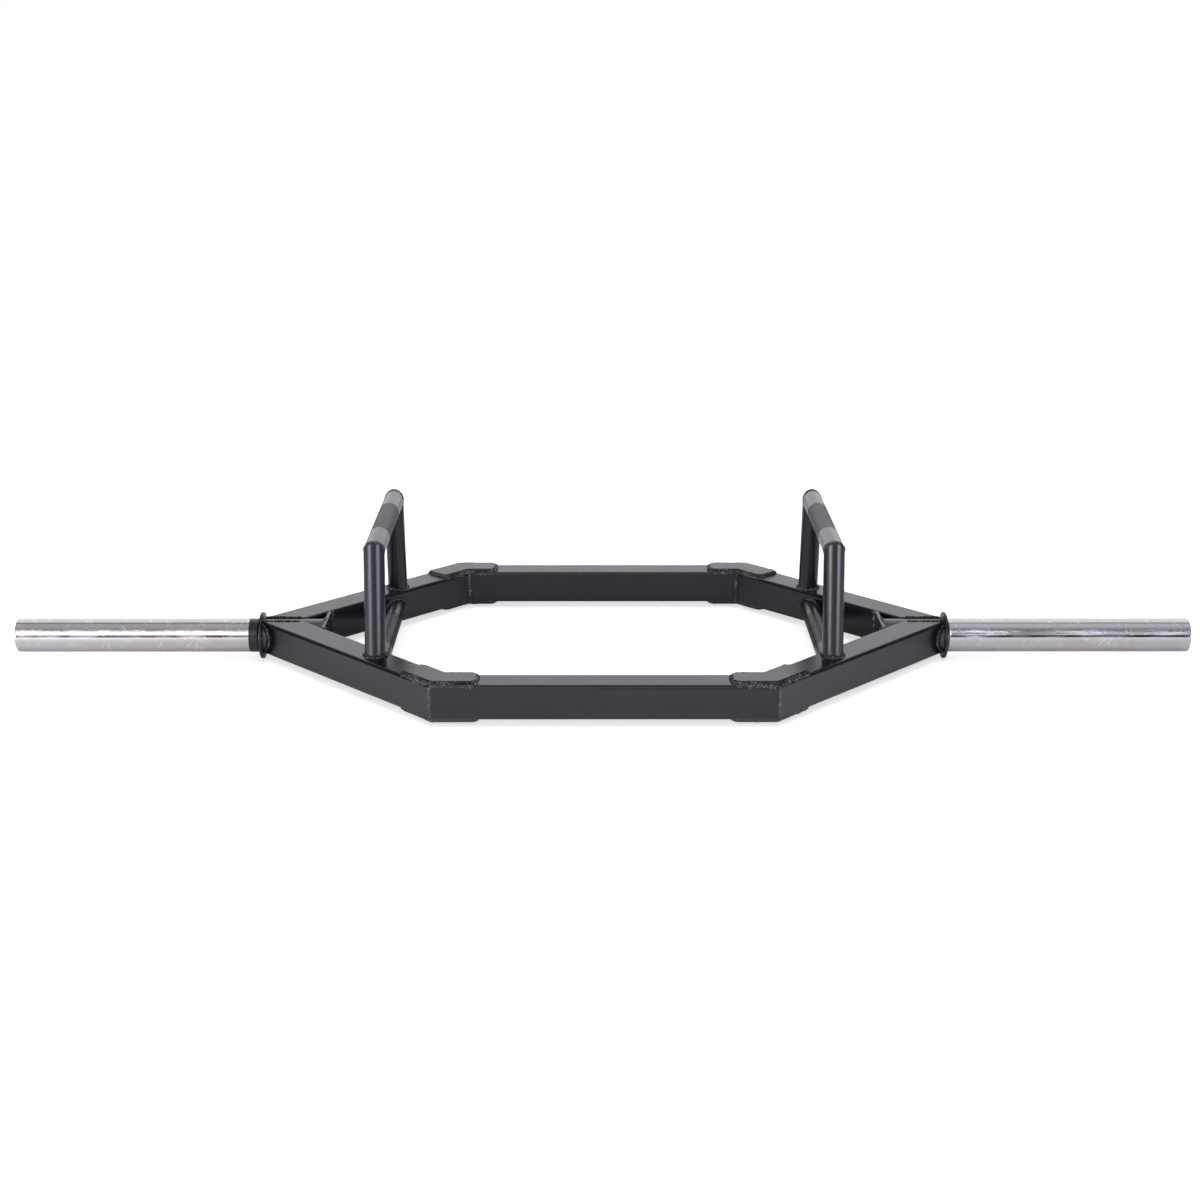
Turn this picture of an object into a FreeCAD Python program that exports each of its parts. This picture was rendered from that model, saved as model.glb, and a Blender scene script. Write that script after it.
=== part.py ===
"""Hex trap bar: a welded hexagon of square tube, with a plate sleeve at each end, two raised
grips on leaning posts and two lower grips.

Millimetres, +Z up, +X along the sleeves.  The origin is under the middle of the bar, on the
plane that the two collars stand on, so the sleeves' axis is one collar radius above it.
"""
import FreeCAD, Part
import Sketcher
import math
import os

# Driving dimensions
SIZES = {
    "overall_length": "1760",
    "sleeve_diameter": "50",
    "sleeve_wall": "4",
    "sleeve_chamfer": "1.5",
    "spigot_diameter": "49",
    "plug_thickness": "5",
    "plug_recess": "1.5",
    "collar_diameter": "70",
    "collar_thickness": "5",
    "collar_edge_cut": "2",
    "collar_inner_face": "510",
    "tube_side": "50",
    "tube_wall": "3",
    "tube_rounding": "5",
    "rail_spacing": "560",
    "corner_half_spacing": "228",
    "arm_angle": "47",
    "apex_slot": "20",
    "crotch_plate_face": "419",
    "crotch_plate_thickness": "5",
    "gusset_width": "38",
    "gusset_thickness": "5",
    "gusset_rail_leg": "52",
    "gusset_arm_leg": "58",
    "gusset_corner_cut": "5",
    "grip_spacing": "650",
    "grip_diameter": "30",
    "grip_wall": "2.5",
    "grip_height": "172",
    "grip_half_length": "147",
    "post_foot_half_spacing": "171",
    "lower_grip_diameter": "28",
    "knurl_length": "140",
    "groove_width": "1.5",
    "groove_depth": "0.6",
    "cut_margin": "25",
}

NO_TURN = "rotation(vector(0; 0; 1); 0)"
HALF_TURN = "rotation(vector(0; 0; 1); 180)"

# Quadrants of the frame: name, side along X, side along Y, and the half turn that carries the
# front right quadrant's pieces there (each of them is the same above and below its middle)
QUADRANTS = (
    ("front_right", 1, -1, NO_TURN),
    ("front_left", -1, -1, "rotation(vector(0; 1; 0); 180)"),
    ("rear_right", 1, 1, "rotation(vector(1; 0; 0); 180)"),
    ("rear_left", -1, 1, HALF_TURN),
)
SIDES = (("right", 1, NO_TURN), ("left", -1, HALF_TURN))

# Formulas that several pieces share
AXIS_HEIGHT = "size.collar_diameter / 2"
HALF_TUBE = "size.tube_side / 2"
SLEEVE_RADIUS = "size.sleeve_diameter / 2"
SLEEVE_BORE = "size.sleeve_diameter / 2 - size.sleeve_wall"
SPIGOT_RADIUS = "size.spigot_diameter / 2"
HALF_MITRE = "tan(size.arm_angle / 2)"
POST_RISE = "(size.grip_height - size.tube_side / 2)"
POST_RUN = "(size.post_foot_half_spacing - size.grip_half_length)"
POST_LEAN = f"atan({POST_RUN} / {POST_RISE})"
GRIP_MITRE = f"tan(45 deg + {POST_LEAN} / 2)"
GRIP_RADIUS = "size.grip_diameter / 2"


def make_sheet(document):
    """The spreadsheet of driving dimensions: a name and a number on each row."""
    sheet = document.addObject("Spreadsheet::Sheet", "size")
    for row, (alias, number) in enumerate(SIZES.items(), start=1):
        sheet.set(f"A{row}", alias)
        sheet.set(f"B{row}", number)
        sheet.setAlias(f"B{row}", alias)
    return sheet


def value(owner, formula):
    """The number that a formula gives now."""
    result = owner.evalExpression(formula)
    return float(getattr(result, "Value", result))


def make_body(document, label, position, turn):
    """A body of one piece, placed by three formulas and a turn."""
    body = document.addObject("PartDesign::Body", label)
    body.Label = label
    place = f"placement(vector({position[0]}; {position[1]}; {position[2]}); {turn})"
    body.setExpression("Placement", place)
    return body


def make_sketch(body, name, plane, offset=None):
    """A sketch on one of the body's own planes, moved in that plane by an optional formula."""
    sketch = body.newObject("Sketcher::SketchObject", name)
    support = next(item for item in body.Origin.OriginFeatures if item.Role == plane)
    sketch.AttachmentSupport = [(support, "")]
    sketch.MapMode = "FlatFace"
    if offset:
        sketch.setExpression("AttachmentOffset", offset)
    body.Document.recompute()
    return sketch


def fix_point(sketch, geometry, end, x_formula, y_formula):
    """Tie a point of a sketch to two formulas, measured from the sketch's origin."""
    for kind, formula in (("DistanceX", x_formula), ("DistanceY", y_formula)):
        rule = Sketcher.Constraint(kind, -1, 1, geometry, end, value(sketch, formula))
        index = sketch.addConstraint(rule)
        sketch.setExpression(f"Constraints[{index}]", formula)


def draw_circle(sketch, radius):
    """A circle about the sketch's origin."""
    centre = FreeCAD.Vector(0, 0, 0)
    circle = Part.Circle(centre, FreeCAD.Vector(0, 0, 1), value(sketch, radius))
    index = sketch.addGeometry(circle, False)
    sketch.addConstraint(Sketcher.Constraint("Coincident", index, 3, -1, 1))
    rule = sketch.addConstraint(Sketcher.Constraint("Radius", index, value(sketch, radius)))
    sketch.setExpression(f"Constraints[{rule}]", radius)


def draw_polygon(sketch, corners):
    """A closed outline whose corners are pairs of formulas."""
    points = [FreeCAD.Vector(value(sketch, x), value(sketch, y), 0) for x, y in corners]
    following = points[1:] + points[:1]
    lines = [sketch.addGeometry(Part.LineSegment(a, b), False) for a, b in zip(points, following)]
    for line, next_line in zip(lines, lines[1:] + lines[:1]):
        sketch.addConstraint(Sketcher.Constraint("Coincident", line, 2, next_line, 1))
    for line, (x, y) in zip(lines, corners):
        fix_point(sketch, line, 1, x, y)


def draw_rounded_square(sketch, side, rounding):
    """A square about the sketch's origin, with its four corners rounded."""
    half = value(sketch, side) / 2
    radius = value(sketch, rounding)
    reach = half - radius
    quarter = math.pi / 2
    arcs = []
    for step, (sx, sy) in enumerate(((1, 1), (-1, 1), (-1, -1), (1, -1))):
        circle = Part.Circle(FreeCAD.Vector(sx * reach, sy * reach, 0), FreeCAD.Vector(0, 0, 1), radius)
        arc = sketch.addGeometry(Part.ArcOfCircle(circle, step * quarter, (step + 1) * quarter), False)
        arcs.append(arc)
        rule = sketch.addConstraint(Sketcher.Constraint("Radius", arc, radius))
        sketch.setExpression(f"Constraints[{rule}]", rounding)
        centre = f"(({side}) / 2 - ({rounding}))"
        fix_point(sketch, arc, 3, f"{sx} * {centre}", f"{sy} * {centre}")
    for arc, next_arc in zip(arcs, arcs[1:] + arcs[:1]):
        start = sketch.getPoint(arc, 2)
        end = sketch.getPoint(next_arc, 1)
        line = sketch.addGeometry(Part.LineSegment(start, end), False)
        sketch.addConstraint(Sketcher.Constraint("Tangent", arc, 2, line, 1))
        sketch.addConstraint(Sketcher.Constraint("Tangent", line, 2, next_arc, 1))


def pad(body, sketch, length, both_ways=False):
    """Extrude a sketch along its normal, or half the length each way."""
    feature = body.newObject("PartDesign::Pad", f"{sketch.Name}_pad")
    feature.Profile = sketch
    feature.setExpression("Length", length)
    feature.Midplane = both_ways
    body.Document.recompute()
    return feature


def cut_through(body, sketch):
    """Cut a sketch's outline right through the body, both ways."""
    before = body.Shape.Volume
    feature = body.newObject("PartDesign::Pocket", f"{sketch.Name}_cut")
    feature.Profile = sketch
    feature.Type = "ThroughAll"
    feature.Midplane = True
    body.Document.recompute()
    if not body.Shape.Volume < before:
        raise RuntimeError(f"{sketch.Name} cuts nothing from {body.Label}")


def turn_profile(body, sketch, kind):
    """Add (Revolution) or cut (Groove) a profile turned about its sketch's horizontal axis."""
    feature = body.newObject(f"PartDesign::{kind}", f"{sketch.Name}_turned")
    feature.Profile = sketch
    feature.ReferenceAxis = (sketch, ["H_Axis"])
    feature.Angle = 360
    body.Document.recompute()
    return feature


def square_tube(body, length, both_ways, offset=None):
    """A length of square tube along the body's X axis."""
    section = make_sketch(body, f"{body.Name}_section", "YZ_Plane", offset)
    draw_rounded_square(section, "size.tube_side", "size.tube_rounding")
    draw_rounded_square(section, "size.tube_side - 2 * size.tube_wall", "size.tube_rounding - size.tube_wall")
    pad(body, section, length, both_ways)


def rail(document, name, side, turn):
    """A long rail of the hexagon, mitred at both ends; its outer side is -Y before the turn."""
    position = ("0", f"{side} * size.rail_spacing / 2", AXIS_HEIGHT)
    body = make_body(document, f"{name}_rail", position, turn)
    square_tube(body, f"2 * (size.corner_half_spacing + {HALF_MITRE} * {HALF_TUBE} + size.cut_margin)", True)
    mitre = make_sketch(body, f"{body.Name}_mitre", "XY_Plane")
    for end in (1, -1):
        inner = f"{end} * (size.corner_half_spacing - {HALF_MITRE} * size.tube_side)"
        outer = f"{end} * (size.corner_half_spacing + {HALF_MITRE} * size.tube_side)"
        beyond = f"{end} * (size.corner_half_spacing + size.tube_side + size.cut_margin)"
        corners = (
            (inner, "size.tube_side"),
            (outer, "-size.tube_side"),
            (beyond, "-size.tube_side"),
            (beyond, "size.tube_side"),
        )
        draw_polygon(mitre, corners)
    cut_through(body, mitre)
    return body


def arm(document, name, side_x, side_y, turn):
    """A slanting side of the hexagon: mitred to the rail, coped round the sleeve's spigot.

    Before the quadrant's turn its axis runs from the corner along X, with the inside of the
    hexagon towards +Y.
    """
    position = (
        f"{side_x} * size.corner_half_spacing",
        f"{side_y} * size.rail_spacing / 2",
        AXIS_HEIGHT,
    )
    body = make_body(document, f"{name}_arm", position, f"{turn} * rotation(vector(0; 0; 1); size.arm_angle)")
    reach = "size.collar_inner_face - size.corner_half_spacing"
    length = f"({reach} + size.tube_side) / cos(size.arm_angle) + size.cut_margin"
    start = f"placement(vector(0; 0; -({HALF_MITRE} * {HALF_TUBE} + size.cut_margin)); {NO_TURN})"
    square_tube(body, f"{length} + {HALF_MITRE} * {HALF_TUBE} + size.cut_margin", False, start)

    mitre = make_sketch(body, f"{body.Name}_mitre", "XY_Plane")
    corners = (
        (f"{HALF_MITRE} * size.tube_side", "size.tube_side"),
        (f"-{HALF_MITRE} * size.tube_side", "-size.tube_side"),
        ("-(size.tube_side + size.cut_margin)", "-size.tube_side"),
        ("-(size.tube_side + size.cut_margin)", "size.tube_side"),
    )
    draw_polygon(mitre, corners)
    cut_through(body, mitre)

    # The apex is drawn about the middle of the bar, with X along the sleeve
    across = "size.rail_spacing / 2"
    along = "size.corner_half_spacing"
    origin_x = f"{across} * sin(size.arm_angle) - {along} * cos(size.arm_angle)"
    origin_y = f"{across} * cos(size.arm_angle) + {along} * sin(size.arm_angle)"
    about_middle = f"placement(vector({origin_x}; {origin_y}; 0); rotation(vector(0; 0; 1); -size.arm_angle))"
    apex_start = "size.crotch_plate_face"
    apex_end = "size.collar_inner_face + 2 * size.tube_side"

    # The end is square to the sleeve where it meets the collar, and stops short of the axis
    end_cut = make_sketch(body, f"{body.Name}_end", "XY_Plane", about_middle)
    corners = (
        (apex_start, "-size.apex_slot / 2"),
        ("size.collar_inner_face", "-size.apex_slot / 2"),
        ("size.collar_inner_face", "-2 * size.tube_side"),
        (apex_end, "-2 * size.tube_side"),
        (apex_end, "3 * size.tube_side"),
        (apex_start, "3 * size.tube_side"),
    )
    draw_polygon(end_cut, corners)
    cut_through(body, end_cut)

    # The cope is the spigot's own round, turned out of the arm
    cope = make_sketch(body, f"{body.Name}_cope", "XY_Plane", about_middle)
    corners = ((apex_start, "0"), (apex_end, "0"), (apex_end, SPIGOT_RADIUS), (apex_start, SPIGOT_RADIUS))
    draw_polygon(cope, corners)
    turn_profile(body, cope, "Groove")
    return body


def gusset(document, name, side_x, side_y, turn, level, up):
    """A bent flat plate welded over a corner's mitre, on the top or the bottom of the tubes."""
    position = (
        f"{side_x} * size.corner_half_spacing",
        f"{side_y} * size.rail_spacing / 2",
        f"{AXIS_HEIGHT} + {up} * ({HALF_TUBE} + size.gusset_thickness / 2)",
    )
    body = make_body(document, f"{name}_{level}_gusset", position, turn)
    outline = make_sketch(body, f"{body.Name}_outline", "XY_Plane")
    half = "size.gusset_width / 2"
    rail_leg = "size.gusset_rail_leg"
    arm_leg = "size.gusset_arm_leg"
    cut = "size.gusset_corner_cut"
    cosine = "cos(size.arm_angle)"
    sine = "sin(size.arm_angle)"

    def on_arm(along, inward):
        """A point of the slanting leg, by its distance along the arm and towards the inside."""
        x = f"({along}) * {cosine} - ({inward}) * {sine}"
        y = f"({along}) * {sine} + ({inward}) * {cosine}"
        return x, y

    corners = (
        (f"{HALF_MITRE} * {half}", f"-({half})"),
        on_arm(f"{arm_leg} - {cut}", f"-({half})"),
        on_arm(arm_leg, f"-({half} - {cut})"),
        on_arm(arm_leg, f"{half} - {cut}"),
        on_arm(f"{arm_leg} - {cut}", half),
        (f"-{HALF_MITRE} * {half}", half),
        (f"-({rail_leg} - {cut})", half),
        (f"-({rail_leg})", f"{half} - {cut}"),
        (f"-({rail_leg})", f"-({half} - {cut})"),
        (f"-({rail_leg} - {cut})", f"-({half})"),
    )
    draw_polygon(outline, corners)
    pad(body, outline, "size.gusset_thickness", True)
    return body


def crotch_plate(document, name, turn):
    """The upright plate between the two arms that closes the sleeve's inner end."""
    body = make_body(document, f"{name}_crotch_plate", ("0", "0", AXIS_HEIGHT), turn)
    outline = make_sketch(body, f"{body.Name}_outline", "XY_Plane")
    meeting = (
        "size.corner_half_spacing + size.rail_spacing / 2 / tan(size.arm_angle)"
        f" - {HALF_TUBE} / sin(size.arm_angle)"
    )
    outer = "size.crotch_plate_face"
    inner = "(size.crotch_plate_face - size.crotch_plate_thickness)"
    outer_half = f"({meeting} - {outer}) * tan(size.arm_angle)"
    inner_half = f"({meeting} - {inner}) * tan(size.arm_angle)"
    corners = (
        (outer, f"-{outer_half}"),
        (outer, outer_half),
        (inner, inner_half),
        (inner, f"-{inner_half}"),
    )
    draw_polygon(outline, corners)
    pad(body, outline, "size.tube_side", True)
    return body


def sleeve(document, name, turn):
    """The plate sleeve, and the spigot that carries it in through the collar to the crotch plate.

    The tube is turned down to a spigot inside the frame, so that a shoulder seats on the collar.
    """
    body = make_body(document, f"{name}_sleeve", ("0", "0", AXIS_HEIGHT), turn)
    profile = make_sketch(body, f"{body.Name}_profile", "XZ_Plane")
    end = "size.overall_length / 2"
    shoulder = "size.collar_inner_face + size.collar_thickness"
    corners = (
        ("size.crotch_plate_face", SLEEVE_BORE),
        (end, SLEEVE_BORE),
        (end, f"{SLEEVE_RADIUS} - size.sleeve_chamfer"),
        (f"{end} - size.sleeve_chamfer", SLEEVE_RADIUS),
        (shoulder, SLEEVE_RADIUS),
        (shoulder, SPIGOT_RADIUS),
        ("size.crotch_plate_face", SPIGOT_RADIUS),
    )
    draw_polygon(profile, corners)
    turn_profile(body, profile, "Revolution")
    return body


def sleeve_plug(document, name, side, turn):
    """The disc that closes the sleeve's outer end, set a little way in."""
    inner_face = "size.overall_length / 2 - size.plug_recess - size.plug_thickness"
    position = (f"{side} * ({inner_face})", "0", AXIS_HEIGHT)
    body = make_body(document, f"{name}_sleeve_plug", position, turn)
    disc = make_sketch(body, f"{body.Name}_disc", "YZ_Plane")
    draw_circle(disc, SLEEVE_BORE)
    pad(body, disc, "size.plug_thickness")
    return body


def collar(document, name, side, turn):
    """The ring that plates stop against, its outer edge turned off; the arms end on its inner face."""
    position = (f"{side} * size.collar_inner_face", "0", AXIS_HEIGHT)
    body = make_body(document, f"{name}_collar", position, turn)
    profile = make_sketch(body, f"{body.Name}_profile", "XZ_Plane")
    rim = "size.collar_diameter / 2"
    thickness = "size.collar_thickness"
    cut = "size.collar_edge_cut"
    corners = (
        ("0", SPIGOT_RADIUS),
        (thickness, SPIGOT_RADIUS),
        (thickness, f"{rim} - {cut}"),
        (f"{thickness} - {cut}", rim),
        ("0", rim),
    )
    draw_polygon(profile, corners)
    turn_profile(body, profile, "Revolution")
    return body


def post(document, name, side_x, side_y, turn):
    """A leaning post: cut flat on the arm's top face and mitred to the raised grip."""
    position = (
        f"{side_x} * size.grip_spacing / 2",
        f"{side_y} * size.post_foot_half_spacing",
        f"{AXIS_HEIGHT} + {HALF_TUBE}",
    )
    body = make_body(document, f"{name}_post", position, turn)
    lean = f"placement(vector(0; 0; 0); rotation(vector(1; 0; 0); -{POST_LEAN}))"
    ring = make_sketch(body, f"{body.Name}_ring", "XY_Plane", lean)
    draw_circle(ring, GRIP_RADIUS)
    draw_circle(ring, f"{GRIP_RADIUS} - size.grip_wall")
    pad(body, ring, f"2 * ({POST_RISE} / cos({POST_LEAN}) + size.cut_margin)", True)

    foot = make_sketch(body, f"{body.Name}_foot", "YZ_Plane")
    far = "(size.grip_height + size.tube_side)"
    corners = (
        (f"-{far}", "0"),
        (far, "0"),
        (far, f"-{far}"),
        (f"-{far}", f"-{far}"),
    )
    draw_polygon(foot, corners)
    cut_through(body, foot)

    mitre = make_sketch(body, f"{body.Name}_mitre", "YZ_Plane")
    side = "2 * size.cut_margin"
    corners = (
        (f"{POST_RUN} - {side}", f"{POST_RISE} + {side} * {GRIP_MITRE}"),
        (f"{POST_RUN} + {side}", f"{POST_RISE} - {side} * {GRIP_MITRE}"),
        (f"{POST_RUN} + {side}", f"{POST_RISE} + {side} * {GRIP_MITRE}"),
    )
    draw_polygon(mitre, corners)
    cut_through(body, mitre)
    return body


def cut_knurl_grooves(body, radius):
    """Two narrow V grooves round a grip that bound the part that is knurled."""
    grooves = make_sketch(body, f"{body.Name}_grooves", "YZ_Plane")
    floor = f"{radius} - size.groove_depth"
    above = f"{radius} + size.groove_depth"
    for end in (1, -1):
        middle = f"{end} * (size.knurl_length + size.groove_width) / 2"
        near = f"{middle} - {end} * size.groove_width"
        far = f"{middle} + {end} * size.groove_width"
        draw_polygon(grooves, ((near, above), (middle, floor), (far, above)))
    turn_profile(body, grooves, "Groove")


def raised_grip(document, name, side):
    """The upper grip: a tube along Y, mitred to its two posts."""
    position = (f"{side} * size.grip_spacing / 2", "0", f"{AXIS_HEIGHT} + size.grip_height")
    body = make_body(document, f"{name}_raised_grip", position, NO_TURN)
    ring = make_sketch(body, f"{body.Name}_ring", "XZ_Plane")
    draw_circle(ring, GRIP_RADIUS)
    draw_circle(ring, f"{GRIP_RADIUS} - size.grip_wall")
    pad(body, ring, "2 * (size.grip_half_length + size.cut_margin)", True)
    mitre = make_sketch(body, f"{body.Name}_mitre", "YZ_Plane")
    side_length = "2 * size.cut_margin"
    for end in (1, -1):
        near = f"{end} * (size.grip_half_length - {side_length})"
        far = f"{end} * (size.grip_half_length + {side_length})"
        drop = f"-{side_length} * {GRIP_MITRE}"
        corners = ((near, drop), (far, f"{side_length} * {GRIP_MITRE}"), (far, drop))
        draw_polygon(mitre, corners)
    cut_through(body, mitre)
    cut_knurl_grooves(body, GRIP_RADIUS)
    return body


def lower_grip(document, name, side, turn):
    """The lower grip: a tube along Y at the sleeves' level, cut to the arms' inner faces."""
    position = (f"{side} * size.grip_spacing / 2", "0", AXIS_HEIGHT)
    body = make_body(document, f"{name}_lower_grip", position, turn)
    ring = make_sketch(body, f"{body.Name}_ring", "XZ_Plane")
    draw_circle(ring, "size.lower_grip_diameter / 2")
    draw_circle(ring, "size.lower_grip_diameter / 2 - size.grip_wall")
    pad(body, ring, "size.rail_spacing", True)
    cut = make_sketch(body, f"{body.Name}_ends", "XY_Plane")
    slope = "tan(size.arm_angle)"
    half_end = (
        "(size.rail_spacing / 2 - size.tube_side / 2 / cos(size.arm_angle)"
        f" - (size.grip_spacing / 2 - size.corner_half_spacing) * {slope})"
    )
    reach = "size.lower_grip_diameter"
    for end in (1, -1):
        corners = (
            (f"-{reach}", f"{end} * ({half_end} + {reach} * {slope})"),
            (reach, f"{end} * ({half_end} - {reach} * {slope})"),
            (reach, f"{end} * size.rail_spacing"),
            (f"-{reach}", f"{end} * size.rail_spacing"),
        )
        draw_polygon(cut, corners)
    cut_through(body, cut)
    cut_knurl_grooves(body, "size.lower_grip_diameter / 2")
    return body


def build_pieces(document):
    """Every piece of the bar, in the order in which it would be welded."""
    pieces = [
        rail(document, "front", -1, NO_TURN),
        rail(document, "rear", 1, HALF_TURN),
    ]
    for name, side_x, side_y, turn in QUADRANTS:
        pieces.append(arm(document, name, side_x, side_y, turn))
        pieces.append(gusset(document, name, side_x, side_y, turn, "top", 1))
        pieces.append(gusset(document, name, side_x, side_y, turn, "bottom", -1))
        pieces.append(post(document, name, side_x, side_y, HALF_TURN if side_y > 0 else NO_TURN))
    for name, side, turn in SIDES:
        pieces.append(sleeve(document, name, turn))
        pieces.append(sleeve_plug(document, name, side, turn))
        pieces.append(collar(document, name, side, turn))
        pieces.append(crotch_plate(document, name, turn))
        pieces.append(raised_grip(document, name, side))
        pieces.append(lower_grip(document, name, side, turn))
    return pieces


def check(document, pieces):
    """Stop on a failed feature, or on a piece whose shape is missing or broken."""
    for item in document.Objects:
        if "Invalid" in item.State or "Error" in item.State:
            raise RuntimeError(f"{item.Label} failed: {item.State}")
    for piece in pieces:
        shape = piece.Shape
        if shape.isNull() or not shape.isValid() or len(shape.Solids) != 1:
            raise RuntimeError(f"{piece.Label} has no single sound solid")


def main():
    document = FreeCAD.newDocument("hex_trap_bar")
    make_sheet(document)
    document.recompute()
    pieces = build_pieces(document)
    document.recompute()
    check(document, pieces)
    os.makedirs("parts", exist_ok=True)
    for piece in pieces:
        piece.Shape.exportStep(f"parts/{piece.Label}.step")
    box = Part.makeCompound([piece.Shape for piece in pieces]).BoundBox
    print(f"{len(pieces)} pieces, {box.XLength:.1f} x {box.YLength:.1f} x {box.ZLength:.1f} mm")


main()
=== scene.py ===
"""Finishes, welds, knurling, plated sleeves and studio for a hex trap bar."""
import math

import bpy
import numpy as np
from mathutils import Matrix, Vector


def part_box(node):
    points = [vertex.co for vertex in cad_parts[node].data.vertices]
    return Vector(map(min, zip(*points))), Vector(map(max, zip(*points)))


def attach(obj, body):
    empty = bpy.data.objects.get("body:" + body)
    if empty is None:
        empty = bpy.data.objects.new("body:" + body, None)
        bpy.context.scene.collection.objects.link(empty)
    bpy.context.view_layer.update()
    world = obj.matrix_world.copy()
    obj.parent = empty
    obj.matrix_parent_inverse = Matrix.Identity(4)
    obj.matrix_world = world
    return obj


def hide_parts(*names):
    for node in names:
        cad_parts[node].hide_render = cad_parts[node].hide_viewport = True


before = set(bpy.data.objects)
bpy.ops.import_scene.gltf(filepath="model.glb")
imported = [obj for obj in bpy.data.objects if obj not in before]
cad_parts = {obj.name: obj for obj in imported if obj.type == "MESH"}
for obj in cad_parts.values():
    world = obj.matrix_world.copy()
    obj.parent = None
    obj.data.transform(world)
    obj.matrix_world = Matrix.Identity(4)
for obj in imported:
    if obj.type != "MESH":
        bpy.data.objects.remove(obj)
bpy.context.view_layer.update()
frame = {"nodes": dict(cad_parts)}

bl_info = {
    "name": "Hex trap bar dresser",
    "version": (1, 0, 0),
    "blender": (4, 5, 0),
    "location": "View3D > Sidebar > Trap Bar",
    "description": "Adds the weld beads, knurled grips, plated sleeves, paint and studio to a hex trap bar",
    "category": "Object",
}

BODY = "root"
PAINT_SLOT = "black_powder_coat"
CHROME_SLOT = "chrome_plate"

# Sides of the bar, as the sign of X or Y on each
SIDES = (("right", 1), ("left", -1))
ENDS = (("front", -1), ("rear", 1))
LEVELS = (("top", 1), ("bottom", -1))
CORNERS = tuple((end, side, side_x, side_y) for end, side_y in ENDS for side, side_x in SIDES)

# Half width and height of each kind of weld bead
GUSSET_BEAD = (0.006, 0.0034)
OUTER_CORNER_BEAD = (0.003, 0.0006)
INNER_CORNER_BEAD = (0.0048, 0.0034)
CORNER_BLOB = (0.0038, 0.003)
POST_FOOT_BEAD = (0.0041, 0.003)
HANDLE_BEAD = (0.0026, 0.0014)
LOWER_GRIP_BEAD = (0.0034, 0.0025)
COPE_BEAD = (0.0052, 0.0026)
CROTCH_BEAD = (0.0044, 0.0034)
SLOT_BEAD = (0.0022, 0.0032)
SPIGOT_BEAD = (0.0024, 0.0019)

# How far a bead's middle line stands off the round piece that it goes round
BEAD_LIFT = 0.0003
# Points round a bead and rows along one of its drops
BEAD_ROUND_POINTS = 14
ROWS_TO_A_DROP = 6
# Points along a bead's path where it bends, and where it runs straight
BENT_PATH_POINTS = 40
STRAIGHT_PATH_POINTS = 20
# Rounding of a corner plate's outline, and of a crotch plate's
PLATE_CORNER_RADIUS = 0.0016
CROTCH_CORNER_RADIUS = 0.0009
# Height of the grips' orange peel, which is finer than the frame's
GRIP_PEEL = 0.00002

# How fine the patterns in the finishes are, in cells to a metre
PEEL_SCALE = 900.0
GRAIN_SCALE = 2600.0
SAG_SCALE = 280.0
DRIFT_SCALE = 14.0
LUMP_SCALE = 420.0
SPATTER_SCALE = 1300.0
WEAR_AND_GLINT_SCALE = 560.0
WEAR_AND_GLINT_PATCH_SCALE = 45.0
DRAWN_SCALE = 240.0
SMUDGE_SCALE = 30.0
WIPE_PATCH_SCALE = 38.0
STAIN_SCALE = 17.0
SPECK_SCALE = 190.0
# The two ways that a cloth wiped the sleeves: the lean of its strokes in radians, and their scale
WIPES = ((0.95, 620.0), (-0.6, 480.0))

# Colour of the pale spots on the welds: painted glints, and partly bare metal where the paint is rubbed
# through
WEAR_AND_GLINT_COLOUR = (0.42, 0.41, 0.43, 1)
SPECK_COLOUR = (0.22, 0.17, 0.16, 1)

# How bright each part of the studio is
WALL_LIGHT = 1.12
CORNICE_SHADE = 0.22
CEILING_LIGHT = 0.59
BOX_LIGHT = 2.1
BOX_FRAME_LIGHT = 0.05
SIDE_LIGHT = 0.12
STRIP_LIGHT = 11.0
FLOOR_GLOW = 0.66
FLOOR_COLOUR = (0.82, 0.82, 0.82, 1)


def node_middle(name):
    """The middle of a CAD node's box."""
    low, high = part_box(name)
    return (np.array(low) + np.array(high)) / 2


def node_high(name):
    """The upper corner of a CAD node's box."""
    return np.array(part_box(name)[1])


AXIS_HEIGHT = float(node_middle("right_collar")[2])
GRIP_SPACING_HALF = float(node_middle("right_raised_grip")[0])
RAIL_OFFSET = float(node_middle("rear_rail")[1])


# Sizes and colours that a user may change

def size_setting(name, description, default):
    """A property that holds a length in metres."""
    return bpy.props.FloatProperty(name=name, description=description, default=default, unit="LENGTH")


def share_setting(name, description, default):
    """A property that holds a share between 0 and 1."""
    return bpy.props.FloatProperty(name=name, description=description, default=default, subtype="FACTOR")


def angle_setting(name, description, degrees):
    """A property that holds an angle, whose default is given in degrees."""
    angle = math.radians(degrees)
    return bpy.props.FloatProperty(name=name, description=description, default=angle, subtype="ANGLE")


def colour_setting(name, description, default):
    """A property that holds a colour."""
    return bpy.props.FloatVectorProperty(name=name, description=description, default=default, subtype="COLOR")


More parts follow.
